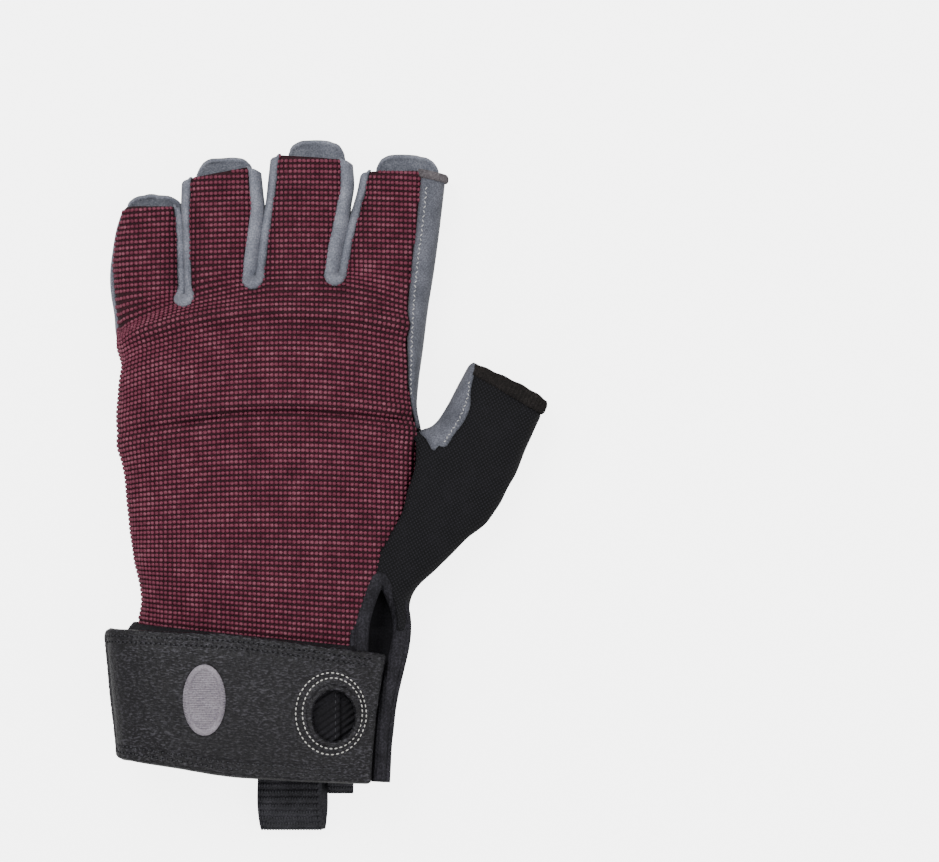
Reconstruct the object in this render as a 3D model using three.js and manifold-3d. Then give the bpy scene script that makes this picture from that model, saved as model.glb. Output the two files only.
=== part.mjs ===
// A half-finger climbing glove for the left hand, lying palm down, as an assembly of sewn pieces.
// Millimetres. +X is the thumb side, +Y points to the fingertips, +Z is up.
// The hand, fingers, thumb, cuff and strap are tubes lofted through short tables of sections.
// The cloth shell is the outer form less the inner one, and is parted along its seams.

import * as THREE from 'three';
import { mergeVertices } from 'three/addons/utils/BufferGeometryUtils.js';
import Module from 'manifold-3d';

// Driving dimensions of the hand
const palmWidth = 88;
const palmLength = 101;
const palmHeight = 25;
const wall = 1.6;
const seamHeight = 6;
const gap = 0.3;
const foldHeight = 1.3;

// Driving dimensions of the fingers
const littleReach = 21;
const ringReach = 30.5;
const middleReach = 35;
const indexReach = 31;
const fingerRoot = 17;
const fingerHeight = 16;
const fingerEndLean = 4.3;
const stripLeft = 2.1;
const stripRight = 3.8;
const littleStripShare = 0.8;
const crotchDrop = 1.6;
const crotchRadius = 2.2;

// Driving dimensions of the thumb
const thumbLength = 68;
const thumbWidth = 24.3;
const thumbHeight = 19;
const thumbAngle = 60;
const thumbHemWidth = 3.4;

// Driving dimensions of the wrist
const cuffLength = 42;
const cuffHeight = 27;
const cuffWall = 1.8;
const cuffBackDrop = 8.4;
const bindingRadius = 2.1;
const bindingSink = 0.9;
const bindingLevelShare = 0.92;
const strapThickness = 2;
const strapStandoff = 1.6;
const strapEndHeight = 13;
const strapCornerRadius = 4;
const strapTurnShare = -0.72;
const clipHoleRadius = 6.4;
const clipHoleStretch = 1.17;
const rimRadius = 0.9;
const rimRise = 1.3;

// Driving dimensions of the webbing and the tabs
const webbingWidth = 19.4;
const webbingThickness = 1.4;
const webbingReach = 24;
const webbingLoopHeight = 7.6;
const webbingShare = 0.195;
const webbingSewn = 4.2;
const webbingTuck = 6;
const loopLift = 0.35;
const smallLoopThickness = 0.9;
const smallLoopReach = 9;
const smallLoopSewn = 5;
const smallLoopTuck = 4;
const smallLoopLeftWidth = 8;
const smallLoopLeftShare = -0.19;
const smallLoopRightWidth = 7.4;
const smallLoopRightShare = 0.506;
const tabShare = 0.68;
const tabReach = 8.6;
const tabRoot = 5;
const tabThickness = 1.2;
const tabRise = 3.5;
const tabCup = 0.9;

// How finely the tubes are faceted
const ringPoints = 24;
const bindingSteps = 32;
const holeSegments = 24;
const ribbonDetail = 3;
const topPower = 3;
const bottomPower = 4;
const bottomSink = 2;
const widestShare = 0.42;
const farAway = 220;
const highAbove = 60;

const halfPalm = palmWidth / 2;

// Columns of the hand: along is a share of palmLength from the cuff to the finger crotches, left
// and right are shares of half the palm width, height of palmHeight and fold of foldHeight.
// slope and bow, shares of half the palm width, bend a section's line as the cloth's folds run.
const handTable = [
  { along: 0.0, left: 0.795, right: 0.955, height: 0.92, fold: 0, slope: -0.09, bow: 0 },
  { along: 0.035, left: 0.78, right: 0.94, height: 0.91, fold: 0.6, slope: -0.075, bow: 0 },
  { along: 0.09, left: 0.786, right: 0.922, height: 0.93, fold: 0, slope: -0.06, bow: 0 },
  { along: 0.2, left: 0.831, right: 0.935, height: 0.96, fold: 0, slope: -0.03, bow: 0.01 },
  { along: 0.32, left: 0.857, right: 0.974, height: 0.98, fold: 0, slope: 0, bow: 0.03 },
  { along: 0.46, left: 0.883, right: 1.0, height: 1.0, fold: 0, slope: 0.01, bow: 0.06 },
  { along: 0.585, left: 0.925, right: 1.01, height: 1.0, fold: 0.3, slope: 0.02, bow: 0.09 },
  { along: 0.615, left: 0.922, right: 1.012, height: 1.0, fold: -1, slope: 0.02, bow: 0.1 },
  { along: 0.645, left: 0.94, right: 1.013, height: 1.0, fold: 0.4, slope: 0.02, bow: 0.1 },
  { along: 0.76, left: 0.932, right: 1.026, height: 0.99, fold: 0.5, slope: 0.03, bow: 0.13 },
  { along: 0.875, left: 0.93, right: 1.058, height: 0.93, fold: -0.3, slope: 0.05, bow: 0.16 },
  { along: 0.91, left: 0.936, right: 1.07, height: 0.9, fold: 1, slope: 0.055, bow: 0.17 },
  { along: 0.945, left: 0.94, right: 1.08, height: 0.86, fold: -0.3, slope: 0.07, bow: 0.19 },
  { along: 1.0, left: 0.945, right: 1.1, height: 0.7, fold: 0, slope: 0.1, bow: 0.24 },
];

// Columns of a finger: along is a share of its length from the root inside the hand to its end,
// left and right are shares of half the palm width from the hand's axis, height of fingerHeight.
const fingers = [
  {
    name: 'little', reach: littleReach, endSlope: 0,
    rows: [
      { along: 0.0, left: -0.925, right: -0.506, height: 1.0 },
      { along: 0.34, left: -0.95, right: -0.514, height: 1.0 },
      { along: 0.64, left: -0.963, right: -0.521, height: 0.97 },
      { along: 0.88, left: -0.935, right: -0.529, height: 0.92 },
      { along: 1.0, left: -0.903, right: -0.539, height: 0.88 },
    ],
  },
  {
    name: 'ring', reach: ringReach, endSlope: 1.6,
    rows: [
      { along: 0.0, left: -0.487, right: -0.052, height: 1.03 },
      { along: 0.33, left: -0.501, right: -0.05, height: 1.05 },
      { along: 0.6, left: -0.51, right: -0.019, height: 1.03 },
      { along: 0.82, left: -0.517, right: 0.01, height: 0.97 },
      { along: 1.0, left: -0.506, right: -0.012, height: 0.93 },
    ],
  },
  {
    name: 'middle', reach: middleReach, endSlope: -0.6,
    rows: [
      { along: 0.0, left: -0.026, right: 0.474, height: 1.03 },
      { along: 0.33, left: -0.029, right: 0.481, height: 1.06 },
      { along: 0.55, left: -0.001, right: 0.521, height: 1.05 },
      { along: 0.75, left: 0.034, right: 0.573, height: 1.0 },
      { along: 0.93, left: 0.058, right: 0.594, height: 0.95 },
      { along: 1.0, left: 0.068, right: 0.583, height: 0.93 },
    ],
  },
  {
    name: 'index', reach: indexReach, endSlope: 0,
    rows: [
      { along: 0.0, left: 0.506, right: 1.052, height: 1.03 },
      { along: 0.33, left: 0.502, right: 1.105, height: 1.05 },
      { along: 0.6, left: 0.549, right: 1.162, height: 1.03 },
      { along: 0.8, left: 0.607, right: 1.192, height: 0.98 },
      { along: 1.0, left: 0.653, right: 1.214, height: 0.93 },
    ],
  },
];

// Columns of the thumb: back is a share of thumbLength from its open end, inner and outer are
// shares of half the thumb width either side of its axis, height of thumbHeight, lift in mm.
const thumbTable = [
  { back: 0.0, inner: 0.965, outer: 1.035, height: 0.88, lift: 1.2 },
  { back: 0.05, inner: 0.99, outer: 1.06, height: 0.9, lift: 1.0 },
  { back: 0.168, inner: 1.08, outer: 1.12, height: 0.96, lift: 0.6 },
  { back: 0.33, inner: 1.16, outer: 1.22, height: 1.0, lift: 0 },
  { back: 0.39, inner: 1.55, outer: 1.24, height: 1.03, lift: 0 },
  { back: 0.462, inner: 1.95, outer: 1.26, height: 1.06, lift: 0 },
  { back: 0.55, inner: 2.1, outer: 1.235, height: 1.1, lift: 0 },
  { back: 0.664, inner: 1.9, outer: 1.0, height: 1.1, lift: 0 },
  { back: 0.815, inner: 1.5, outer: 0.78, height: 1.08, lift: 0 },
  { back: 1.0, inner: 1.0, outer: 0.565, height: 1.02, lift: 0 },
];

// The middle of the thumb's open end, in shares of half the palm width and of the palm length
const thumbEnd = { across: 1.6, along: 0.71 };

// Columns of the cuff: down is a share of cuffLength, left and right of half the palm width,
// height of cuffHeight, lift of the webbing that lies under it, lean of cuffBackDrop.
const cuffTable = [
  { down: 0.0, left: 0.82, right: 0.95, height: 0.9, lift: 0, slope: -0.09, lean: 0 },
  { down: 0.05, left: 0.86, right: 0.945, height: 0.95, lift: 1, slope: -0.09, lean: 0 },
  { down: 0.35, left: 0.875, right: 0.885, height: 1.0, lift: 1, slope: -0.085, lean: 0.2 },
  { down: 0.7, left: 0.87, right: 0.85, height: 0.98, lift: 1, slope: -0.08, lean: 0.6 },
  { down: 0.95, left: 0.865, right: 0.818, height: 0.94, lift: 1, slope: -0.08, lean: 1 },
];

// Columns of the strap: left as in the cuff, where it stands off the cuff's side
const strapTable = [
  { down: -0.1, left: 0.968 },
  { down: 0.1, left: 0.966 },
  { down: 0.35, left: 0.942 },
  { down: 0.7, left: 0.905 },
  { down: 1.0, left: 0.89 },
];

// The strap seen from above: its long edges and its sewn right end. Shares as in the cuff.
const strapTop = [
  { across: -0.96, down: -0.042 },
  { across: -0.54, down: -0.024 },
  { across: -0.12, down: 0.0 },
  { across: 0.3, down: 0.055 },
  { across: 0.815, down: 0.126 },
];
const strapSewnEnd = [
  { across: 0.778, down: 0.357 },
  { across: 0.75, down: 0.52 },
  { across: 0.73, down: 0.714 },
];
const strapBottom = [
  { across: 0.712, down: 1.015 },
  { across: 0.09, down: 0.979 },
  { across: -0.2, down: 0.957 },
  { across: -0.536, down: 0.905 },
  { across: -0.87, down: 0.86 },
];

// Where the clip hole is in the strap
const clipHole = { across: 0.476, down: 0.545 };

// The bound edge of the vent from the cuff's lower edge, up round the top and down again.
// along is a share of palmLength above the cuff's top edge, and of cuffLength below it. rise is
// in mm: beside the strap's sewn end the roll stands as high as the strap.
const bindingPath = [
  { across: 0.655, along: -1.0, rise: 0 },
  { across: 0.65, along: -0.6, rise: 0 },
  { across: 0.645, along: -0.25, rise: 0 },
  { across: 0.64, along: -0.03, rise: 0 },
  { across: 0.65, along: 0.035, rise: 0 },
  { across: 0.68, along: 0.085, rise: 0 },
  { across: 0.72, along: 0.13, rise: 0 },
  { across: 0.768, along: 0.163, rise: 0 },
  { across: 0.82, along: 0.14, rise: 0 },
  { across: 0.865, along: 0.1, rise: 0 },
  { across: 0.898, along: 0.055, rise: 0 },
  { across: 0.905, along: 0.005, rise: 0.2 },
  { across: 0.895, along: -0.08, rise: 0.9 },
  { across: 0.865, along: -0.22, rise: 1.4 },
  { across: 0.825, along: -0.4, rise: 1.6 },
  { across: 0.79, along: -0.66, rise: 1.6 },
  { across: 0.77, along: -1.0, rise: 1.6 },
];

// How a webbing loop turns: out is a share of its reach past the cuff's edge, and rise a share of
// the way from its lower run to its upper one. The last two shares place the run back inside.
const loopTable = [
  { out: 0.45, rise: 0 },
  { out: 0.8, rise: 0.03 },
  { out: 1.0, rise: 0.42 },
  { out: 0.78, rise: 1 },
  { out: 0.4, rise: 1 },
];
const loopBackShare = 0.08;
const tuckBendShare = 0.4;

// Seams seen from above, in shares of half the palm width and of palmLength
const backSeam = [
  [1.032, 1.6], [1.032, 1.307], [1.026, 1.253], [1.0, 1.151], [0.974, 1.061], [0.955, 0.942],
  [0.948, 0.8], [0.968, 0.653], [0.994, 0.603], [1.0, 0.546], [0.994, 0.467], [0.955, 0.405],
  [0.896, 0.342], [0.838, 0.28], [0.79, 0.229], [0.768, 0.163],
];
const crotchSeam = [[0.988, 0.595], [1.052, 0.591], [1.156, 0.659], [1.4, 0.87]];
const thumbInnerSeam = [
  [0.992, 0.585], [1.0, 0.577], [1.071, 0.554], [1.117, 0.52], [1.195, 0.521], [1.247, 0.557],
  [1.351, 0.636], [1.377, 0.716], [1.383, 0.755], [1.416, 0.829], [1.45, 0.87],
];
const patchSeam = [
  [1.4, 1.09], [1.253, 1.05], [1.156, 1.027], [1.052, 0.97], [0.883, 0.914], [0.623, 0.849],
  [0.403, 0.806], [0.318, 0.781], [0.296, 0.743], [0.331, 0.69], [0.416, 0.642],
  [0.649, 0.625], [0.929, 0.605], [1.052, 0.591], [1.156, 0.659], [1.4, 0.87],
];
const thumbPalmSeam = [
  [1.052, 0.591], [1.104, 0.532], [1.058, 0.461], [0.994, 0.407], [0.766, 0.294],
  [0.617, 0.184], [0.52, 0.093], [0.474, -0.03],
];
const knitSeam = [
  [1.773, 0.744], [1.675, 0.668], [1.604, 0.614], [1.552, 0.523], [1.409, 0.413],
  [1.136, 0.294], [0.864, 0.187], [0.714, 0.107], [0.655, 0.031], [0.643, -0.03],
];

const wasm = await Module();
wasm.setup();

// Plan position of a share across the palm and a share along it, above or below the cuff's edge
const plan = (across, along) => [
  across * halfPalm,
  along >= 0 ? along * palmLength : along * cuffLength,
];
const planOf = (list) => list.map(([across, along]) => plan(across, along));
const cuffPlan = (list) => list.map((p) => [p.across * halfPalm, -p.down * cuffLength]);

// A closed geometry as a solid whose shared vertices are merged
function solidOf(geometry) {
  const bare = geometry.clone();
  bare.deleteAttribute('normal');
  bare.deleteAttribute('uv');
  const merged = mergeVertices(bare, 1e-4);
  const made = new wasm.Manifold(new wasm.Mesh({
    numProp: 3,
    vertProperties: merged.getAttribute('position').array,
    triVerts: new Uint32Array(merged.index.array),
  }));
  return made;
}

// A solid as a geometry with flat shading
function geometryOf(solid) {
  const mesh = solid.getMesh();
  const geometry = new THREE.BufferGeometry();
  geometry.setAttribute('position', new THREE.BufferAttribute(mesh.vertProperties, 3));
  geometry.setIndex(new THREE.BufferAttribute(mesh.triVerts, 1));
  geometry.computeVertexNormals();
  return geometry;
}

// A closed body through rings of equally many points. Each end is closed by a strip that joins
// the ring's first half to its second, so that a bent end keeps its bend.
function loftGeometry(rings) {
  const count = rings[0].length;
  const index = [];
  for (let r = 0; r + 1 < rings.length; r += 1) {
    for (let k = 0; k < count; k += 1) {
      const a = r * count + k;
      const b = r * count + ((k + 1) % count);
      index.push(a, b, b + count, a, b + count, a + count);
    }
  }
  const last = (rings.length - 1) * count;
  for (let k = 0; k + 1 < count / 2; k += 1) {
    const far = count - 1 - k;
    index.push(k, far, far - 1, k, far - 1, k + 1);
    index.push(last + k, last + far - 1, last + far, last + k, last + k + 1, last + far - 1);
  }
  const geometry = new THREE.BufferGeometry();
  geometry.setAttribute('position', new THREE.Float32BufferAttribute(rings.flat(2), 3));
  geometry.setIndex(index);
  return geometry;
}

// A loft as a solid, whichever way round its rings run
function loftSolid(rings) {
  const made = solidOf(loftGeometry(rings));
  return made.volume() > 0 ? made : solidOf(loftGeometry(rings.toReversed()));
}

// One ring: a rounded section with a flat underside. inset shrinks it by a wall's thickness.
function sectionRing(section, inset) {
  const { left, right, top, lift = 0, y, slope = 0, bow = 0, lean = 0 } = section;
  const centre = (left + right) / 2;
  const half = (right - left) / 2 - inset;
  const middle = lift + widestShare * (top - lift);
  const ring = [];
  for (let k = 0; k < ringPoints; k += 1) {
    const angle = (2 * Math.PI * k) / ringPoints;
    const cos = Math.cos(angle);
    const sin = Math.sin(angle);
    const upper = sin >= 0;
    const power = 2 / (upper ? topPower : bottomPower);
    const u = Math.sign(cos) * Math.abs(cos) ** power;
    const rise = Math.abs(sin) ** power;
    const z = upper
      ? middle + (top - inset - middle) * rise
      : Math.max(lift + inset, middle - (middle - lift - inset + bottomSink) * rise);
    const dy = slope * u - bow * u * u - lean * ((z - lift) / (top - lift));
    ring.push([centre + half * u, y + dy, z]);
  }
  return ring;
}

// Sections of the hand in millimetres, its wrist end first
const handSections = handTable.map((row) => ({
  left: -row.left * halfPalm,
  right: row.right * halfPalm,
  top: row.height * palmHeight + row.fold * foldHeight,
  y: row.along * palmLength,
  slope: row.slope * halfPalm,
  bow: row.bow * halfPalm,
}));

// Sections of one finger. lean sets the underside's edge back from the top's.
function fingerSections(finger) {
  const length = fingerRoot + finger.reach;
  return finger.rows.map((row) => ({
    left: row.left * halfPalm,
    right: row.right * halfPalm,
    top: row.height * fingerHeight,
    y: palmLength - fingerRoot + row.along * length - row.along * fingerEndLean,
    slope: row.along * finger.endSlope,
    lean: -row.along * fingerEndLean,
  }));
}

// The cuff's sections, their left edge from the table or from the strap's
function cuffSections(leftOf) {
  return cuffTable.map((row) => ({
    left: -leftOf(row) * halfPalm,
    right: row.right * halfPalm,
    top: row.height * cuffHeight,
    lift: row.lift * (webbingThickness + gap),
    y: -row.down * cuffLength - gap / 2 + row.lean * cuffBackDrop,
    slope: row.slope * halfPalm,
    lean: row.lean * cuffBackDrop,
  }));
}

// A copy of the first or last section moved on along the tube, so that a hollow runs out of it
const movedOn = (section, distance) => ({ ...section, y: section.y + distance });

// The thumb's tube: rings across a slanting axis
const thumbTurn = THREE.MathUtils.degToRad(thumbAngle);
const thumbOut = [Math.cos(thumbTurn), Math.sin(thumbTurn)];
const thumbSide = [Math.sin(thumbTurn), -Math.cos(thumbTurn)];
const thumbOrigin = plan(thumbEnd.across, thumbEnd.along);
const onThumb = (back, side) => [
  thumbOrigin[0] - thumbOut[0] * back + thumbSide[0] * side,
  thumbOrigin[1] - thumbOut[1] * back + thumbSide[1] * side,
];

function thumbRings(inset, ahead) {
  const rows = thumbTable.map((row) => ({ ...row, at: row.back * thumbLength }));
  const last = rows.at(-1);
  last.at -= inset;
  if (ahead > 0) rows.unshift({ ...rows[0], at: -ahead });
  return rows.map((row) => {
    const flat = sectionRing({
      left: (-row.inner * thumbWidth) / 2,
      right: (row.outer * thumbWidth) / 2,
      top: row.height * thumbHeight,
      lift: row.lift,
      y: 0,
    }, inset);
    return flat.map(([side, , z]) => [...onThumb(row.at, side), z]);
  });
}

// An upright prism over a closed plan outline
function prism(outline, low, high) {
  const shape = new THREE.Shape(outline.map(([x, y]) => new THREE.Vector2(x, y)));
  const geometry = new THREE.ExtrudeGeometry(shape, { depth: high - low, bevelEnabled: false });
  geometry.translate(0, 0, low);
  return solidOf(geometry);
}

// A thin upright wall along a seam, as wide as the gap between two sewn pieces
function seamWall(line, low, high) {
  const sideLine = (sign) => line.map((p, i) => {
    const a = line[Math.max(i - 1, 0)];
    const b = line[Math.min(i + 1, line.length - 1)];
    const along = new THREE.Vector2(b[0] - a[0], b[1] - a[1]).normalize();
    return [p[0] - (sign * along.y * gap) / 2, p[1] + (sign * along.x * gap) / 2];
  });
  return prism([...sideLine(1), ...sideLine(-1).reverse()], low, high);
}

const join = (solids) => solids.reduce((all, one) => all.add(one));
const cut = (solid, tools) => tools.reduce((left, tool) => left.subtract(tool), solid);

// The glove's cloth: hand, fingers and thumb joined, less their hollows
const handOuter = loftSolid(handSections.map((s) => sectionRing(s, 0)));
const handInnerSections = [
  movedOn(handSections[0], -wall),
  ...handSections.slice(0, -1),
  movedOn(handSections.at(-1), -wall),
];
const handInner = loftSolid(handInnerSections.map((s) => sectionRing(s, wall)));
const fingerOuters = fingers.map((f) => loftSolid(fingerSections(f).map((s) => sectionRing(s, 0))));
const fingerInners = fingers.map((f) => {
  const sections = fingerSections(f);
  sections.push(movedOn(sections.at(-1), wall));
  return loftSolid(sections.map((s) => sectionRing(s, wall)));
});
const thumbOuter = loftSolid(thumbRings(0, 0));
const thumbInner = loftSolid(thumbRings(wall, wall));
const clothOuter = join([handOuter, ...fingerOuters, thumbOuter]);
const shell = cut(clothOuter, [handInner, ...fingerInners, thumbInner]);

// The cuff's tube
const cuffOuterSections = cuffSections((row) => row.left);
const cuffOuter = loftSolid(cuffOuterSections.map((s) => sectionRing(s, 0)));
const cuffInner = loftSolid([
  movedOn(cuffOuterSections[0], cuffWall),
  ...cuffOuterSections,
  movedOn(cuffOuterSections.at(-1), -cuffWall),
].map((s) => sectionRing(s, cuffWall)));

// Height of a solid's top surface at a place in the plan
function topFinder(solid) {
  const mesh = new THREE.Mesh(geometryOf(solid), new THREE.MeshBasicMaterial());
  const ray = new THREE.Raycaster();
  const down = new THREE.Vector3(0, 0, -1);
  return (x, y) => {
    ray.set(new THREE.Vector3(x, y, highAbove), down);
    const hits = ray.intersectObject(mesh);
    return hits.length ? hits[0].point.z : 0;
  };
}

// The vent's bound edge: a roll that follows the top surface of the cloth and the cuff, and runs
// on level past a share of the cuff's length
const wristTop = topFinder(join([handOuter, thumbOuter, cuffOuter]));
const bindingLine = bindingPath.map(({ across, along, rise }) => {
  const [x, y] = plan(across, along);
  const top = wristTop(x, Math.max(y, -bindingLevelShare * cuffLength));
  return new THREE.Vector3(x, y, top - bindingSink + rise);
});
function rollAlong(points, radius, reach) {
  const first = points[0].clone().add(new THREE.Vector3(0, -reach, 0));
  const last = points.at(-1).clone().add(new THREE.Vector3(0, -reach, 0));
  const route = reach > 0 ? [first, ...points, last] : points;
  const curve = new THREE.CatmullRomCurve3(route, false, 'centripetal');
  const section = new THREE.Shape();
  section.absarc(0, 0, radius, 0, 2 * Math.PI, false);
  return solidOf(new THREE.ExtrudeGeometry(section, {
    steps: bindingSteps, curveSegments: 4, extrudePath: curve, bevelEnabled: false,
  }));
}
const binding = rollAlong(bindingLine, bindingRadius, 0);
const bindingRoom = rollAlong(bindingLine, bindingRadius + gap, gap);
const ventOutline = bindingLine.map((p) => [p.x, p.y]);
ventOutline.unshift([ventOutline[0][0], -cuffLength - cuffBackDrop]);
ventOutline.push([ventOutline.at(-1)[0], -cuffLength - cuffBackDrop]);
const vent = prism(ventOutline, cuffHeight / 2, highAbove);

// The U between two fingers, from the edge of one finger's back to the next one's
function edgeAt(finger, side, y) {
  const rows = fingerSections(finger);
  const at = rows.findIndex((s) => s.y > y);
  if (at < 0) return rows.at(-1)[side];
  if (at === 0) return rows[0][side];
  const share = (y - rows[at - 1].y) / (rows[at].y - rows[at - 1].y);
  return rows[at - 1][side] + share * (rows[at][side] - rows[at - 1][side]);
}
function crotchHeight(x) {
  const end = handSections.at(-1);
  const u = (x - (end.left + end.right) / 2) / ((end.right - end.left) / 2);
  return end.y + end.slope * u - end.bow * u * u - crotchDrop;
}
function crotchLine(first, second) {
  const edgeSteps = [1, 0.75, 0.5, 0.25];
  const stripOf = (finger) => (finger.name === 'little' ? littleStripShare * stripLeft : stripRight);
  const leftEdge = (y) => edgeAt(first, 'right', y) - stripOf(first);
  const rightEdge = (y) => edgeAt(second, 'left', y) + stripLeft;
  const bottomX = (edgeAt(first, 'right', palmLength) + edgeAt(second, 'left', palmLength)) / 2
    - (stripOf(first) - stripLeft) / 2;
  const bottomY = crotchHeight(bottomX);
  const reachOf = (finger, share) => bottomY + 2 * crotchRadius + share * (palmLength + finger.reach
    - bottomY - 2 * crotchRadius);
  const downLine = edgeSteps.map((s) => [leftEdge(reachOf(first, s)), reachOf(first, s)]);
  const upLine = edgeSteps.toReversed().map((s) => [
    rightEdge(reachOf(second, s)), reachOf(second, s)]);
  const round = [-2, -1, 0, 1, 2].map((k) => {
    const angle = (k * Math.PI) / 5;
    return [bottomX + crotchRadius * Math.sin(angle),
      bottomY + crotchRadius * (1 - Math.cos(angle))];
  });
  const topLeft = [downLine[0][0], farAway];
  const topRight = [upLine.at(-1)[0], farAway];
  return [topLeft, ...downLine, ...round, ...upLine, topRight];
}
const crotches = [0, 1, 2].map((i) => ({
  name: `fourchette_${fingers[i].name}_${fingers[i + 1].name}`,
  line: crotchLine(fingers[i], fingers[i + 1]),
}));

// The seams in the plan, and the outlines between them
const backLine = planOf(backSeam);
const crotchLineOut = planOf(crotchSeam);
const thumbInnerLine = planOf(thumbInnerSeam);
const patchLine = planOf(patchSeam);
const thumbPalmLine = planOf(thumbPalmSeam);
const knitLine = planOf(knitSeam);
const upperSeams = [backLine, crotchLineOut, thumbInnerLine, ...crotches.map((c) => c.line)];
const lowerSeams = [patchLine, thumbPalmLine, knitLine];
const upperWalls = upperSeams.map((line) => seamWall(line, seamHeight - gap, highAbove));
const lowerWalls = lowerSeams.map((line) => seamWall(line, -gap, seamHeight + gap));

const wristY = -cuffLength;
const backOutline = [
  ...backLine, [backLine.at(-1)[0], wristY], [-farAway, wristY], [-farAway, farAway],
  [backLine[0][0], farAway],
];
const sideOutline = [
  [backLine[0][0], farAway], ...backLine.slice(0, 9), ...crotchLineOut,
  [farAway, crotchLineOut.at(-1)[1]], [farAway, farAway],
];
const greyTopOutline = [...crotchLineOut, ...thumbInnerLine.toReversed()];
const knitTopOutline = [
  ...thumbInnerLine.toReversed(), ...backLine.slice(9), [backLine.at(-1)[0], wristY],
  [farAway, wristY], [farAway, thumbInnerLine.at(-1)[1]],
];
const greyBottomOutline = [
  ...crotchLineOut.toReversed().slice(0, 2), ...thumbPalmLine, ...knitLine.toReversed(),
  [knitLine[0][0], crotchLineOut.at(-1)[1]],
];
const knitBottomOutline = [
  ...knitLine, [knitLine.at(-1)[0], wristY], [farAway, wristY], [farAway, knitLine[0][1]],
];

const seamLow = seamHeight - gap / 2;
const seamHigh = seamHeight + gap / 2;
const upperPart = (outline) => cut(
  shell.intersect(prism(outline, seamHigh, highAbove)), upperWalls,
);
const lowerPart = (outline) => cut(shell.intersect(prism(outline, -gap, seamLow)), lowerWalls);

// A piece that wraps from the top to the underside over the height of the seam
function wrappedPart(topOutline, bottomOutline) {
  const above = cut(prism(topOutline, seamHigh, highAbove), upperWalls);
  const below = cut(prism(bottomOutline, -gap, seamLow), lowerWalls);
  const both = cut(
    prism(topOutline, seamLow - gap, seamHigh + gap)
      .intersect(prism(bottomOutline, seamLow - gap, seamHigh + gap)),
    [...upperWalls, ...lowerWalls],
  );
  return shell.intersect(join([above, below, both]));
}

// The largest body of a cut piece, without crumbs that a seam leaves
function mainBody(solid) {
  const bodies = solid.decompose();
  return bodies.reduce((best, one) => (one.volume() > best.volume() ? one : best));
}

const ventTools = [vent, bindingRoom];
const backPanel = cut(
  upperPart(backOutline),
  [...crotches.map((c) => prism(c.line, seamHigh - gap, highAbove)), ...ventTools],
);
const knit = cut(wrappedPart(knitTopOutline, knitBottomOutline), ventTools);
const greyThumb = wrappedPart(greyTopOutline, greyBottomOutline);
const everything = [[-farAway, wristY], [farAway, wristY], [farAway, farAway], [-farAway, farAway]];
const palmTools = [patchLine, greyBottomOutline, knitBottomOutline]
  .map((outline) => prism(outline, -gap * 2, seamHeight + gap));
const palm = cut(lowerPart(everything), palmTools);

// The hem is the knit's last stretch at the thumb's open end
const hemOutline = (back) => [
  onThumb(back, -farAway), onThumb(back, farAway), onThumb(-farAway, farAway),
  onThumb(-farAway, -farAway),
];
const hem = knit.intersect(prism(hemOutline(thumbHemWidth - gap / 2), -gap, highAbove));
const thumbBack = knit.subtract(prism(hemOutline(thumbHemWidth + gap / 2), -gap, highAbove));

// The cuff is open along the vent
const cuffBand = cut(cuffOuter, [cuffInner, ...ventTools]);

// The strap lies over the cuff, clear of the vent's roll, and turns down at its free end
const strapLeft = (row) => {
  const at = strapTable.findIndex((r) => r.down >= row.down);
  const [a, b] = [strapTable[Math.max(at - 1, 0)], strapTable[at]];
  const share = b.down === a.down ? 0 : (row.down - a.down) / (b.down - a.down);
  return a.left + share * (b.left - a.left);
};
const strapSections = cuffSections(strapLeft);
const strapRing = (s, out) => sectionRing({
  ...s, right: s.right + out, top: s.top + out, left: s.left - (out - strapStandoff),
}, 0);
const strapEnds = (list) => [
  movedOn(list[0], strapStandoff * 2), ...list, movedOn(list.at(-1), -strapStandoff * 2)];
const strapOuter = loftSolid(strapEnds(strapSections)
  .map((s) => strapRing(s, strapStandoff + strapThickness)));
const strapInner = loftSolid(strapEnds(strapSections)
  .map((s) => strapRing(s, strapStandoff)));
const strapOutline = [
  [-farAway, cuffPlan(strapTop)[0][1]], ...cuffPlan(strapTop), ...cuffPlan(strapSewnEnd),
  ...cuffPlan(strapBottom),
  [-farAway, cuffPlan(strapBottom).at(-1)[1]],
];
const strapNear = cuffPlan(strapTop)[0][1];
const strapFar = cuffPlan(strapBottom).at(-1)[1];
const strapTurn = strapTurnShare * halfPalm;
const strapEnd = new THREE.Shape();
strapEnd.moveTo(strapFar, highAbove);
strapEnd.lineTo(strapFar, strapEndHeight + strapCornerRadius);
strapEnd.absarc(strapFar + strapCornerRadius, strapEndHeight + strapCornerRadius,
  strapCornerRadius, Math.PI, 1.5 * Math.PI, false);
strapEnd.absarc(strapNear - strapCornerRadius, strapEndHeight + strapCornerRadius,
  strapCornerRadius, 1.5 * Math.PI, 2 * Math.PI, false);
strapEnd.lineTo(strapNear, highAbove);
const endPrism = new THREE.ExtrudeGeometry(strapEnd, {
  depth: farAway, bevelEnabled: false, curveSegments: 4,
});
endPrism.rotateX(Math.PI / 2);
endPrism.rotateZ(Math.PI / 2);
endPrism.translate(strapTurn - farAway, 0, 0);
const topPrism = prism([[strapTurn - gap, -farAway], [farAway, -farAway],
  [farAway, farAway], [strapTurn - gap, farAway]], strapEndHeight, highAbove);
const strapSlab = strapOuter.subtract(strapInner)
  .intersect(prism(strapOutline, strapEndHeight, highAbove))
  .intersect(solidOf(endPrism).add(topPrism));
const strapTopAt = topFinder(strapSlab);
const clipX = clipHole.across * halfPalm;
const clipY = -clipHole.down * cuffLength;
const rimCentreRadius = clipHoleRadius + rimRadius;

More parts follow.
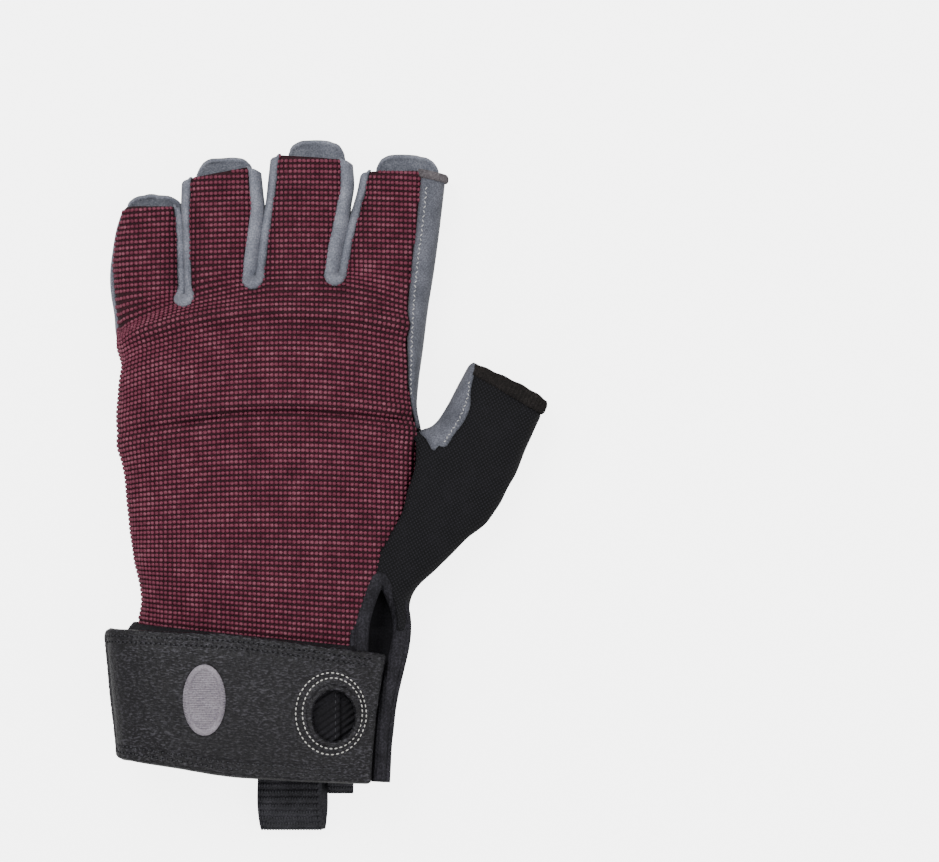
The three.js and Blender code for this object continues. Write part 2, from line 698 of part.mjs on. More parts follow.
// An oval upright cutter and a closed ring, both turned to the strap's slope at the clip hole
const slopeAcross = (strapTopAt(clipX + rimCentreRadius, clipY)
  - strapTopAt(clipX - rimCentreRadius, clipY)) / (2 * rimCentreRadius);
const slopeAlong = (strapTopAt(clipX, clipY + rimCentreRadius)
  - strapTopAt(clipX, clipY - rimCentreRadius)) / (2 * rimCentreRadius);
const clipNormal = new THREE.Vector3(-slopeAcross, -slopeAlong, 1).normalize();
const clipTurn = new THREE.Quaternion()
  .setFromUnitVectors(new THREE.Vector3(0, 1, 0), clipNormal);
const clipCentre = new THREE.Vector3(clipX, clipY, strapTopAt(clipX + rimCentreRadius, clipY) / 2
  + strapTopAt(clipX - rimCentreRadius, clipY) / 2)
  .addScaledVector(clipNormal, -strapThickness / 2);
function atClip(geometry) {
  geometry.scale(1, 1, clipHoleStretch);
  geometry.applyQuaternion(clipTurn);
  geometry.translate(clipCentre.x, clipCentre.y, clipCentre.z);
  return geometry;
}
const rimOutside = clipHoleRadius + 2 * rimRadius;
const holeCutter = solidOf(atClip(new THREE.CylinderGeometry(
  rimOutside + gap, rimOutside + gap, 4 * strapThickness, holeSegments)));
const strap = cut(strapSlab, [holeCutter, bindingRoom]);
const rimProfile = [...Array(7)].map((_, k) => {
  const angle = (2 * Math.PI * k) / 6;
  return new THREE.Vector2(rimCentreRadius + rimRadius * Math.cos(angle),
    rimRise * rimRadius * Math.sin(angle));
});
const eyeletRim = solidOf(atClip(new THREE.LatheGeometry(rimProfile, holeSegments)));

// A flat ribbon that follows a line in the YZ plane, its width along X
function ribbon(line, thickness, width, centreX) {
  const curve = new THREE.CatmullRomCurve3(
    line.map(([y, z]) => new THREE.Vector3(centreX, y, z)), false, 'centripetal');
  const steps = ribbonDetail * line.length;
  const rings = curve.getSpacedPoints(steps).map((p, i) => {
    const tangent = curve.getTangentAt(i / steps);
    const corner = (side, face) => [
      p.x + (side * width) / 2,
      p.y - (face * tangent.z * thickness) / 2,
      Math.max(p.z + (face * tangent.y * thickness) / 2, 0),
    ];
    return [corner(-1, 1), corner(1, 1), corner(1, -1), corner(-1, -1)];
  });
  return loftSolid(rings);
}

// The pull webbing: down the underside of the cuff, round the loop and back inside
const cuffPalmY = (x) => {
  const end = cuffOuterSections.at(-1);
  const u = (x - (end.left + end.right) / 2) / ((end.right - end.left) / 2);
  return end.y + end.slope * u;
};
const insideHeight = (thickness) => webbingThickness + gap + cuffWall + gap + thickness / 2;
function loopLine(x, topY, reach, thickness, bulge, tuck) {
  const edge = cuffPalmY(x);
  const inside = insideHeight(thickness);
  const low = webbingThickness - thickness / 2;
  return [
    [topY, low],
    [(topY + edge) / 2, low],
    [edge, low],
    ...loopTable.map(({ out, rise }) => [edge - out * reach, low + rise * (bulge - low)]),
    [edge - loopBackShare * reach, inside + loopLift],
    [edge + tuckBendShare * tuck, inside],
    [edge + tuck, inside],
  ];
}
const webbingX = webbingShare * halfPalm;
const pullWebbing = ribbon(
  loopLine(webbingX, -webbingSewn, webbingReach, webbingThickness, webbingLoopHeight, webbingTuck),
  webbingThickness, webbingWidth, webbingX);
const smallLoop = (x, width) => ribbon(
  loopLine(x, cuffPalmY(x) + smallLoopSewn, smallLoopReach, smallLoopThickness,
    insideHeight(smallLoopThickness), smallLoopTuck),
  smallLoopThickness, width, x);

// A pull tab inside a finger's end: a tongue whose free end rises and is rounded
function fingerTab(finger) {
  const end = fingerSections(finger).at(-1);
  const centre = (end.left + end.right) / 2;
  const rootY = end.y - tabRoot;
  const length = tabRoot + tabReach;
  const tabWidth = (end.right - end.left) * tabShare;
  const rings = [0, 0.3, 0.6, 0.75, 0.86, 0.94, 1].map((share) => {
    const rounding = share < 0.75 ? 1 : (1 - ((share - 0.75) / 0.27) ** 3) ** 0.4;
    const half = (tabWidth / 2) * rounding;
    const low = wall + gap + tabRise * share ** 2;
    const upperRow = [];
    const lowerRow = [];
    for (let k = 0; k <= 4; k += 1) {
      const u = k / 2 - 1;
      const cup = tabCup * share * u * u;
      upperRow.push([centre + half * u, rootY + length * share, low + cup + tabThickness]);
      lowerRow.push([centre + half * u, rootY + length * share, low + cup]);
    }
    return [...upperRow, ...lowerRow.reverse()];
  });
  return loftSolid(rings);
}

const cloth = (color, roughness) => new THREE.MeshStandardMaterial({
  color, roughness, metalness: 0, flatShading: true,
});
const maroonWeave = cloth('#6e2b3d', 0.85);
const greySuede = cloth('#7e8a94', 0.95);
const blackKnit = cloth('#1e1c22', 0.95);
const blackElastic = cloth('#232127', 0.8);
const blackLeather = cloth('#2a2830', 0.5);
const blackWebbing = cloth('#1a1a1e', 0.8);

const glove = new THREE.Group();
function addPiece(name, solid, material) {
  const mesh = new THREE.Mesh(geometryOf(mainBody(solid)), material);
  mesh.name = name;
  glove.add(mesh);
}

addPiece('back_panel', backPanel, maroonWeave);
crotches.forEach((c) => addPiece(c.name, upperPart(c.line), greySuede));
addPiece('index_side_panel', upperPart(sideOutline), greySuede);
addPiece('palm_panel', palm, greySuede);
addPiece('palm_patch', lowerPart(patchLine), greySuede);
addPiece('thumb_palm', greyThumb, greySuede);
addPiece('thumb_back', thumbBack, blackKnit);
addPiece('thumb_hem', hem, blackKnit);
fingers.forEach((f) => addPiece(`finger_tab_${f.name}`, fingerTab(f), greySuede));
addPiece('cuff_band', cuffBand, blackElastic);
addPiece('vent_binding', binding, blackKnit);
addPiece('wrist_strap', strap, blackLeather);
addPiece('eyelet_rim', eyeletRim, blackLeather);
addPiece('pull_webbing', pullWebbing, blackWebbing);
addPiece('small_loop_left', smallLoop(smallLoopLeftShare * halfPalm, smallLoopLeftWidth), blackWebbing);
addPiece('small_loop_right', smallLoop(smallLoopRightShare * halfPalm, smallLoopRightWidth), blackWebbing);

// The origin is the middle of the glove's footprint, on the surface that it lies on
const reach = new THREE.Box3().setFromObject(glove);
glove.position.set(-(reach.min.x + reach.max.x) / 2, -(reach.min.y + reach.max.y) / 2, -reach.min.z);

export default glove;
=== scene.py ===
# %% [markdown]
# # A half-finger climbing glove
# The glove is sewn from flat pieces of cloth: a ribbed woven back, grey suede between and under
# the fingers, black knit on the thumb, an elastic cuff and a leather closing strap.
# Each cell below makes one of these pieces or one finish. The CAD model gives every place, so
# the first cell loads it as a fixed frame.

# %% Load the frame
import math

import bpy
import numpy as np
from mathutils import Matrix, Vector, noise
from mathutils.bvhtree import BVHTree
from mathutils.geometry import delaunay_2d_cdt
from mathutils.kdtree import KDTree


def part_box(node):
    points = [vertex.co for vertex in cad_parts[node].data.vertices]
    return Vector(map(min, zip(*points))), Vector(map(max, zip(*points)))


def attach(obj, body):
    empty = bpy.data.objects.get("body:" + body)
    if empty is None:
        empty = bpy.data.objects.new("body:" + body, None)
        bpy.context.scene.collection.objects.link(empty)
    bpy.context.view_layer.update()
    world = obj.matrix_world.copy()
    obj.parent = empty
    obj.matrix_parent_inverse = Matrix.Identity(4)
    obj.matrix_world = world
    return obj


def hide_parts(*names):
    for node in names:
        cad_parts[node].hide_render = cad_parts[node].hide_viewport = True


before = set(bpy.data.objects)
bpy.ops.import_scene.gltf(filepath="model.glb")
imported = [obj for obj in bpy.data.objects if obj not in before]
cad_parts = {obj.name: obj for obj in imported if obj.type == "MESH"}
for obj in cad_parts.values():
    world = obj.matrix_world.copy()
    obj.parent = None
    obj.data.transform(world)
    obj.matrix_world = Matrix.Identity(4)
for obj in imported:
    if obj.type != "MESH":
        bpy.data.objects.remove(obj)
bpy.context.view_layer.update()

# %% [markdown]
# ## Where things are
# A glove maker thinks in the plan of the hand: across the palm and along it, in millimetres. All
# shapes here are worked out in that plan and turned to metres at the end. The pull webbing and
# the middle finger's tab of the CAD model say where the plan lies in the frame.

# %% The plan and its scale
PALM_LENGTH = 101.0
HALF_PALM = 44.0
WEBBING_MIDDLE = 8.58
MIDDLE_TAB_ROOT = 126.7
webbing_low, webbing_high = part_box("pull_webbing")
tab_low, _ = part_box("finger_tab_middle")
PLAN_ORIGIN = np.array([
    500 * (webbing_low.x + webbing_high.x) - WEBBING_MIDDLE,
    1000 * tab_low.y - MIDDLE_TAB_ROOT,
    0.0,
])


def metres(points):
    """Plan millimetres as metres in the frame."""
    return (np.asarray(points, float) + PLAN_ORIGIN) / 1000


def from_photo(*pixels):
    """Places read off the photograph, 3.5 pixels to a millimetre, as plan millimetres."""
    return np.array([((x - 262) / 3.5, (633 - y) / 3.5) for x, y in pixels])


print("plan origin", PLAN_ORIGIN.round(2))

# %% [markdown]
# ## The camera
# The photograph looks straight down on the pair through a long lens. A camera 1.6 m up with a
# lens of about 215 mm has the same small perspective.

# %% Camera
CAMERA_HEIGHT = 1.6
SENSOR_WIDTH = 36
scene = bpy.context.scene


def new_object(name, data):
    """An object with this data, in the scene."""
    made = bpy.data.objects.new(name, data)
    scene.collection.objects.link(made)
    return made


FRAME_WIDTH = 939 / 3.5 / 1000
AIM = metres((59.3, 57.7, 12.0))
camera_data = bpy.data.cameras.new("camera")
camera_data.sensor_width = SENSOR_WIDTH
camera_data.lens = SENSOR_WIDTH * CAMERA_HEIGHT / FRAME_WIDTH
camera = new_object("camera", camera_data)
camera.location = (AIM[0], AIM[1], AIM[2] + CAMERA_HEIGHT)
scene.camera = camera
print("lens", round(camera_data.lens, 1), "mm")

# %% [markdown]
# ## Curves through tables
# The glove's form is held in short tables, one row for each section of the hand. A smooth curve
# through the rows gives the sections between them, as a draughtsman's spline would.

# %% Smooth tables and polylines


def through(knots, values, at):
    """A smooth curve through the rows of a table, read at some places."""
    knots, values = np.asarray(knots, float), np.asarray(values, float)
    slope = np.gradient(values, knots)
    at = np.clip(at, knots[0], knots[-1])
    i = np.clip(np.searchsorted(knots, at, side="right") - 1, 0, len(knots) - 2)
    step = knots[i + 1] - knots[i]
    t = (at - knots[i]) / step
    return (
        (2 * t**3 - 3 * t**2 + 1) * values[i]
        + (t**3 - 2 * t**2 + t) * step * slope[i]
        + (3 * t**2 - 2 * t**3) * values[i + 1]
        + (t**3 - t**2) * step * slope[i + 1]
    )


def rows_at(table, at):
    """Every column of a table beside its first, read at some places of the first."""
    return [through(table[:, 0], column, at) for column in table.T[1:]]


def across_share(x, left, right):
    """Where x is across a section: -1 at its left side, 1 at its right side."""
    return (x - (left + right) / 2) / ((right - left) / 2)


def lengths_along(line):
    """How far each point of a polyline is from its start."""
    return np.r_[0, np.cumsum(np.linalg.norm(np.diff(line, axis=0), axis=1))]


def read_at(line, far, at):
    """A polyline read at some distances along it."""
    return np.column_stack([np.interp(at, far, column) for column in line.T])


def smooth_at(line, far, at):
    """A smooth curve through a polyline's points, read at some distances along it."""
    return np.column_stack([through(far, column, at) for column in np.asarray(line, float).T])


def spaced(line, spacing):
    """A polyline's own path with points at even distances."""
    line = np.asarray(line, float)
    far = lengths_along(line)
    at = np.linspace(0, far[-1], max(2, int(round(far[-1] / spacing)) + 1))
    return read_at(line, far, at)


def smooth_line(points, spacing):
    """A smooth curve through a few points, with points at even distances."""
    points = np.asarray(points, float)
    far = lengths_along(points)
    fine = np.linspace(0, far[-1], 20 * len(points))
    return spaced(smooth_at(points, far, fine), spacing)


def closed_line(outline):
    """An outline that ends where it starts."""
    return np.vstack([outline, outline[:1]])


def unit(vectors):
    """Vectors made one long."""
    return vectors / np.linalg.norm(vectors, axis=1)[:, None]


# %% [markdown]
# ## The hand's form
# Worn or laid down, the cloth is a flat tube with a rounded top. Its cross section is a
# superellipse: fuller than an ellipse, softer than a box. Fingers are smaller tubes that grow out
# of the hand, and a soft maximum melts the tubes into one skin without a hard line.

# %% Tables of the hand and the fingers
PALM_HEIGHT = 25.0
FINGER_HEIGHT = 16.0
FINGER_ROOT = 17.0
END_LEAN = 1.6
SEAM_HEIGHT = 6.0
WIDEST_SHARE = 0.42

# columns: station, left, right, height, slope and bow of the cloth's rows
HAND = np.array([
    (0.0, 0.795, 0.955, 0.92, -0.09, 0.0),
    (0.035, 0.785, 0.94, 0.915, -0.075, 0.0),
    (0.09, 0.79, 0.922, 0.93, -0.06, 0.0),
    (0.2, 0.831, 0.935, 0.96, -0.03, 0.01),
    (0.32, 0.857, 0.974, 0.98, 0.0, 0.03),
    (0.46, 0.883, 1.0, 1.0, 0.01, 0.06),
    (0.585, 0.925, 1.01, 1.0, 0.02, 0.09),
    (0.645, 0.938, 1.013, 1.0, 0.02, 0.1),
    (0.76, 0.932, 1.026, 0.99, 0.03, 0.13),
    (0.875, 0.93, 1.058, 0.93, 0.05, 0.16),
    (0.945, 0.94, 1.08, 0.86, 0.07, 0.19),
    (1.0, 0.945, 1.1, 0.7, 0.1, 0.24),
]) * (PALM_LENGTH, -HALF_PALM, HALF_PALM, PALM_HEIGHT, HALF_PALM, HALF_PALM)

# each finger: name, reach beyond the palm, slope of its end, and rows of along, left, right, height
FINGERS = {
    "little": (21.0, 0.0, [
        (0.0, -0.925, -0.506, 1.0), (0.34, -0.95, -0.514, 1.0), (0.64, -0.963, -0.521, 0.97),
        (0.88, -0.935, -0.529, 0.92), (1.0, -0.903, -0.539, 0.88)]),
    "ring": (30.5, 1.6, [
        (0.0, -0.487, -0.052, 1.03), (0.33, -0.501, -0.05, 1.05), (0.6, -0.51, -0.019, 1.03),
        (0.82, -0.517, 0.01, 0.97), (1.0, -0.506, -0.012, 0.93)]),
    "middle": (35.0, -0.6, [
        (0.0, -0.026, 0.474, 1.03), (0.33, -0.029, 0.481, 1.06), (0.55, -0.001, 0.521, 1.05),
        (0.75, 0.034, 0.573, 1.0), (0.93, 0.058, 0.594, 0.95), (1.0, 0.068, 0.583, 0.93)]),
    "index": (31.0, 0.0, [
        (0.0, 0.506, 1.052, 1.03), (0.33, 0.502, 1.105, 1.05), (0.6, 0.549, 1.162, 1.03),
        (0.8, 0.607, 1.192, 0.98), (1.0, 0.653, 1.214, 0.93)]),
}
print(len(HAND), "sections of the hand,", len(FINGERS), "fingers")

# %% [markdown]
# ## Heights
# Cloth over a hand is highest at its middle and rolls down at its sides. Two height functions,
# one for the top and one for the underside, tell where the skin is at any place in the plan.

# %% Heights of the top and the underside


def mound(u, top, lift=0.0):
    """Height of a section's top at a place across it, which is -1 and 1 at its sides."""
    middle = lift + WIDEST_SHARE * (top - lift)
    inside = np.clip(np.abs(u), 0, 1)
    return (middle + (top - middle) * (1 - inside**3) ** (1 / 3)
            - 40 * np.maximum(np.abs(u) - 1, 0))


def hollow(u, top):
    """Height of a section's underside: flat where it lies, and curling up at the sides."""
    middle = WIDEST_SHARE * top
    inside = np.clip(np.abs(u), 0, 1)
    low = middle - (middle + 2) * (1 - inside**4) ** 0.25
    return np.maximum(low, 0) + 40 * np.maximum(np.abs(u) - 1, 0)


def soft_max(a, b, blend):
    """The higher of two heights, without a hard line where they meet."""
    return (a + b + np.sqrt((a - b) ** 2 + blend**2)) / 2


def hand_place(x, y):
    """Across share, station along the cloth's rows and height of the hand's section."""
    station = np.array(y, float)
    for _ in range(14):
        left, right, top, slope, bow = rows_at(HAND, station)
        u = np.clip(across_share(x, left, right), -1.2, 1.2)
        station = (station + y - slope * u + bow * u * u) / 2
    return u, station, top


def finger_rows(name, y, lean):
    """How far along a finger y is, and the finger's left, right and height there."""
    reach, _, rows = FINGERS[name]
    along = (y - PALM_LENGTH + FINGER_ROOT) / (FINGER_ROOT + reach - lean)
    return along, rows_at(np.array(rows), along)


def finger_place(name, x, y, lean=0.0):
    """Across share, share along and height of a finger's section."""
    along, (left, right, height) = finger_rows(name, y, lean)
    return across_share(x / HALF_PALM, left, right), along, height * FINGER_HEIGHT


def finger_side(name, column, y, lean=0.0):
    """Where a finger's left or right side is, column 1 or 2 of its table."""
    return finger_rows(name, y, lean)[1][column - 1] * HALF_PALM


def top_height(x, y):
    """Height of the skin over the hand and the fingers."""
    x, y = np.asarray(x, float), np.asarray(y, float)
    u, station, top = hand_place(x, y)
    z = mound(u, top) - 1.5 * np.maximum(station - PALM_LENGTH, 0)
    for name in FINGERS:
        u, along, top = finger_place(name, x, y)
        z = soft_max(z, mound(u, top) - 60 * np.maximum(-along, 0), 1.0)
    return z


def under_height(x, y):
    """Height of the skin under the hand and the fingers, never above the palm's seam."""
    x, y = np.asarray(x, float), np.asarray(y, float)
    u, station, top = hand_place(x, y)
    z = hollow(u, top) + 1.5 * np.maximum(station - PALM_LENGTH, 0)
    for name in FINGERS:
        u, along, top = finger_place(name, x, y, END_LEAN)
        z = np.minimum(z, hollow(u, top) + 60 * np.maximum(-along, 0))
    return np.clip(z, 0, SEAM_HEIGHT)


print("top at the palm's middle", float(top_height(0, 50)).__round__(1), "mm")

# %% [markdown]
# ## Nodes and threads
# Shader trees and geometry trees are both built from the same few steps: make a node, set it and
# link it. One small function does that for every kind of node.

# %% Adding nodes
def add(tree, kind, inputs=(), **settings):
    """Adds a node to a tree. inputs gives a socket's value or the output that feeds it."""
    node = tree.nodes.new(kind)
    for key, value in settings.items():
        setattr(node, key, value)
    for key, value in dict(inputs).items():
        if isinstance(value, bpy.types.NodeSocket):
            tree.links.new(value, node.inputs[key])
        else:
            node.inputs[key].default_value = value
    return node


def colour(code):
    """An sRGB hex colour as the linear values that the shader wants."""
    parts = [int(code[i:i + 2], 16) / 255 for i in (1, 3, 5)]
    return [c / 12.92 if c <= 0.04045 else ((c + 0.055) / 1.055) ** 2.4 for c in parts] + [1.0]


# %% [markdown]
# ## Finishes
# Every finish starts from the real material: a nylon weave, a suede of microfibre, a jersey knit,
# an elastic webbing, a coated leather and spun threads. Its colour varies a little from place to
# place, and its relief is drawn at the size it has on the glove.

# %% A material with mottled colour and relief


def cloth(name, dark, mid, light, grain, roughness, bump, sheen=0.0, blotch=0.006):
    """A finish whose colour runs from dark to light with a fine grain, size in metres."""
    material = bpy.data.materials.new(name)
    material.use_nodes = True
    tree = material.node_tree
    shader = tree.nodes["Principled BSDF"]
    place = add(tree, "ShaderNodeTexCoord").outputs["Object"]
    fine = add(tree, "ShaderNodeTexNoise", {"Vector": place, "Scale": 1 / grain, "Detail": 3})
    wide = add(tree, "ShaderNodeTexNoise", {"Vector": place, "Scale": 1 / blotch, "Detail": 2})
    both = add(tree, "ShaderNodeMix", {
        "Factor": 0.35, "A": fine.outputs["Fac"], "B": wide.outputs["Fac"]})
    ramp = add(tree, "ShaderNodeValToRGB", {"Fac": both.outputs["Result"]})
    ramp.color_ramp.elements[0].position = 0.34
    ramp.color_ramp.elements[0].color = colour(dark)
    ramp.color_ramp.elements[1].position = 0.66
    ramp.color_ramp.elements[1].color = colour(light)
    ramp.color_ramp.elements.new(0.5).color = colour(mid)
    relief = add(tree, "ShaderNodeBump", {
        "Height": fine.outputs["Fac"], "Strength": 1.0, "Distance": bump})
    tree.links.new(ramp.outputs["Color"], shader.inputs["Base Color"])
    tree.links.new(relief.outputs["Normal"], shader.inputs["Normal"])
    shader.inputs["Roughness"].default_value = roughness
    shader.inputs["Sheen Weight"].default_value = sheen
    shader.inputs["Sheen Roughness"].default_value = 0.5
    shader.inputs["Specular IOR Level"].default_value = 0.25
    return material


# %% [markdown]
# ## The glove's own finishes
# The colours are the dark, middle and light tone of each material under the soft studio light.
# The three lengths and shares after them are its grain, its roughness and its relief.

# %% The glove's finishes
# Nylon stretch weave: smooth filament yarn, so each raised float has a soft shine
nylon_float = cloth("woven_nylon_float", "#582032", "#733346", "#8D5161", 0.0011, 0.6, 0.0001)
nylon_ground = cloth("woven_nylon_ground", "#1F070E", "#2C0E17", "#3A1520", 0.0006, 0.85,
                     0.00015)
# Microfibre suede: a dense short nap that scatters light and shows small lighter flecks
suede = cloth("microfibre_suede", "#53555D", "#696B74", "#868890", 0.00045, 0.95, 0.00012, 0.1)
# The same suede in two copies with painted light: a lighter lit copy (strips, tabs) and a darker
# painted-shade copy (sides)
suede_painted_lit = cloth("microfibre_suede_painted_lit", "#5E616B", "#777A85", "#979AA5", 0.00045, 0.95,
                    0.00012, 0.1)
suede_painted_shade = cloth("microfibre_suede_painted_shade", "#484A52", "#5C5E67", "#767882", 0.00045, 0.95,
                     0.00012, 0.1)
# The cut edge of the same suede, browner where its backing shows
suede_edge = cloth("suede_cut_edge", "#454144", "#5C575A", "#757073", 0.0005, 0.95, 0.0001)
# Polyester jersey: fine ribs and a dull surface
jersey = cloth("polyester_jersey", "#09090B", "#0E0E10", "#18171B", 0.0005, 0.92, 0.0001)
# The hem's double jersey, a little browner and heavier
hem_jersey = cloth("ribbed_hem_jersey", "#121010", "#1B1817", "#2A2625", 0.0005, 0.9, 0.0002)
# The same jersey cut on its length for the vent's binding, coloured a little lighter
binding_jersey = cloth("jersey_binding", "#151418", "#232227", "#39373E", 0.0006, 0.85, 0.0002)
# Woven elastic: rubber cores wrapped in nylon, with slanting ribs
elastic = cloth("woven_elastic", "#0C0C0E", "#151418", "#212025", 0.0005, 0.8, 0.00012)
# Coated goat leather: pebbled grain with a soft gloss
leather = cloth("coated_leather", "#131214", "#171619", "#1C1B1E", 0.0010, 0.36, 0.0001)
# Nylon webbing: tight ribs with a faint shine
webbing_nylon = cloth("nylon_webbing", "#1D1D20", "#2E2E33", "#46454B", 0.0004, 0.55, 0.0001)
# Tricot lining: thin and dull, seen through the openings, and laid as dark beads in the strap's
# stitch holes as painted shade
lining = cloth("tricot_lining", "#0B0B0D", "#121115", "#1B1A1E", 0.0005, 0.95, 0.0001)
# Spun polyester sewing threads
grey_thread = cloth("grey_thread", "#9DA3AA", "#B4B9BE", "#CBCFD2", 0.0004, 0.7, 0.00005)
pale_thread = cloth("pale_grey_thread", "#A9A9AB", "#C0C0C1", "#D6D5D4", 0.0004, 0.7, 0.00005)
white_thread = cloth("white_thread", "#C4C2BE", "#D8D6D0", "#ECEAE6", 0.0004, 0.7, 0.00005)
black_thread = cloth("black_thread", "#29292C", "#39393D", "#4A4A4E", 0.0004, 0.5, 0.00005)
# Rayon embroidery thread: bright filament that gleams along the stitches
satin_thread = cloth("satin_thread", "#7E7884", "#989199", "#B3ADB8", 0.0005, 0.45, 0.00004)
print(len(bpy.data.materials), "finishes")

# %% [markdown]
# ## Ribs, grain and wrinkles
# Some finishes have a relief of their own beside the fine grain: the ribs of elastic and of the
# binding, the loops of the knit, the pebbles and wrinkles of leather, the nap of suede brushed
# this way and that. The knit's loops and the leather's wrinkles also carry a painted highlight.

# %% Ribs, grain and wrinkles


def tree_of(finish):
    """A finish's node tree, its shader and its place texture."""
    tree = finish.node_tree
    return tree, tree.nodes["Principled BSDF"], tree.nodes["Texture Coordinate"].outputs["Object"]


def paint_highlight(finish, share, light):
    """Mixes a painted highlight colour over a finish's own where share says so."""
    tree, shader, _ = tree_of(finish)
    before = shader.inputs["Base Color"].links[0].from_socket
    paint = add(tree, "ShaderNodeMix", {"Factor": share, 6: before, 7: colour(light)},
                data_type="RGBA")
    tree.links.new(paint.outputs[2], shader.inputs["Base Color"])


def raise_by(finish, height, distance):
    """Adds one more height to a finish's relief."""
    tree, shader, _ = tree_of(finish)
    before = shader.inputs["Normal"].links[0].from_socket
    relief = add(tree, "ShaderNodeBump", {
        "Height": height, "Strength": 1.0, "Distance": distance, "Normal": before})
    tree.links.new(relief.outputs["Normal"], shader.inputs["Normal"])


def relief_of(finish, texture, output, turn, stretch, distance, light=None):
    """Adds one more texture to a finish's relief, and paints a highlight on its crests where light
    is given.
    """
    tree, _, place = tree_of(finish)
    turned = add(tree, "ShaderNodeMapping", {
        "Vector": place, "Rotation": (0, 0, math.radians(turn)), "Scale": stretch})
    pattern = add(tree, texture, {"Vector": turned.outputs["Vector"], "Scale": 1.0})
    raise_by(finish, pattern.outputs[output], distance)
    if light:
        patch = add(tree, "ShaderNodeTexNoise", {"Vector": place, "Scale": 45, "Detail": 1})
        highlight_crest = add(tree, "ShaderNodeMapRange", {
            "Value": pattern.outputs[output], "From Min": 0.5, "From Max": 0.7})
        share = add(tree, "ShaderNodeMath", {
            0: highlight_crest.outputs["Result"], 1: patch.outputs["Fac"]}, operation="MULTIPLY")
        paint_highlight(finish, share.outputs["Value"], light)


# The wave texture has 20 radians in one unit of its scale
WAVE = 2 * math.pi / 20
LOOP_HEIGHT = 0.00025


def ribs(finish, turn, pitch, distance):
    """Straight ribs."""
    relief_of(finish, "ShaderNodeTexWave", "Fac", turn, (WAVE / pitch,) * 3, distance)


def loops(finish, turn, wide, tall, light):
    """The small loops of a knit: two crossed waves that raise each crossing and paint a highlight
    on it.
    """
    tree, _, place = tree_of(finish)
    turned = add(tree, "ShaderNodeMapping", {
        "Vector": place, "Rotation": (0, 0, math.radians(turn)),
        "Scale": (WAVE / wide, WAVE / tall, 1)})
    waves = [add(tree, "ShaderNodeTexWave", {
        "Vector": turned.outputs["Vector"], "Scale": 1.0, "Distortion": 0.6}, bands_direction=way)
        for way in ("X", "Y")]
    both = add(tree, "ShaderNodeMath", {k: wave.outputs["Fac"] for k, wave in enumerate(waves)},
               operation="MULTIPLY")
    paint_highlight(finish, both.outputs["Value"], light)
    raise_by(finish, both.outputs["Value"], LOOP_HEIGHT)


ribs(elastic, 55, 0.0016, 0.0004)
# The knit's loops get a painted highlight where the waves cross
loops(jersey, -30, 0.0008, 0.0009, "#2A292E")
ribs(binding_jersey, 4, 0.0009, 0.00012)
relief_of(leather, "ShaderNodeTexVoronoi", "Distance", 35, (900, 420, 500), 0.00022)
# The leather's wrinkles get a painted highlight on their crests
relief_of(leather, "ShaderNodeTexNoise", "Fac", 20, (950, 2300, 1000), 0.0004, "#55535A")
for nap in (suede, suede_painted_lit, suede_painted_shade):
    relief_of(nap, "ShaderNodeTexNoise", "Fac", 10, (160, 160, 160), 0.0006)
print("ribs and wrinkles added")

# %% [markdown]
# ## Threads in rows
# The floats of the weave, the stitches, the ribs of the webbing and the satin threads are all one
# short form repeated at many places. Geometry Nodes put it there: each point carries its own
# direction and its own upright, and the tree gives all of them one size.

# %% The tree that lays threads
def thread_tree(name, sides):
    """A geometry tree: a bead where sides is 0, or else a bar with that many sides."""
    tree = bpy.data.node_groups.new(name, "GeometryNodeTree")
    tree.interface.new_socket("Geometry", in_out="INPUT", socket_type="NodeSocketGeometry")
    for label, kind in (("Length", "Float"), ("Width", "Float"), ("Height", "Float"),
                        ("Material", "Material")):
        tree.interface.new_socket(label, in_out="INPUT", socket_type="NodeSocket" + kind)
    tree.interface.new_socket("Geometry", in_out="OUTPUT", socket_type="NodeSocketGeometry")
    start = add(tree, "NodeGroupInput")
    along, up, long = (
        add(tree, "GeometryNodeInputNamedAttribute", {"Name": n}, data_type=kind)
        for n, kind in (("along", "FLOAT_VECTOR"), ("up", "FLOAT_VECTOR"), ("long", "FLOAT")))
    first = add(tree, "FunctionNodeAlignRotationToVector",
                {"Vector": along.outputs["Attribute"]}, axis="X")
    turned = add(tree, "FunctionNodeAlignRotationToVector", {
        "Rotation": first.outputs[0], "Vector": up.outputs["Attribute"]},
        axis="Z", pivot_axis="X")
    if sides:
        form = add(tree, "GeometryNodeMeshCylinder", {
            "Vertices": sides, "Radius": 0.5, "Depth": 1.0})
        form = add(tree, "GeometryNodeTransform", {
            "Geometry": form.outputs["Mesh"], "Rotation": (0, math.pi / 2, 0)})
    else:
        form = add(tree, "GeometryNodeMeshIcoSphere", {"Radius": 0.5, "Subdivisions": 1})
    smooth = add(tree, "GeometryNodeSetShadeSmooth", {"Geometry": form.outputs[0]})
    longer = add(tree, "ShaderNodeMath", {0: long.outputs["Attribute"],
                                          1: start.outputs["Length"]}, operation="MULTIPLY")
    size = add(tree, "ShaderNodeCombineXYZ", {
        "X": longer.outputs[0], "Y": start.outputs["Width"], "Z": start.outputs["Height"]})
    laid = add(tree, "GeometryNodeInstanceOnPoints", {
        "Points": start.outputs["Geometry"], "Instance": smooth.outputs[0],
        "Rotation": turned.outputs[0], "Scale": size.outputs[0]})
    real = add(tree, "GeometryNodeRealizeInstances", {"Geometry": laid.outputs[0]})
    dressed = add(tree, "GeometryNodeSetMaterial", {
        "Geometry": real.outputs[0], "Material": start.outputs["Material"]})
    add(tree, "NodeGroupOutput", {"Geometry": dressed.outputs[0]})
    return tree


BEADS = thread_tree("threads_in_rows", 0)
BARS = thread_tree("bars_in_rows", 6)


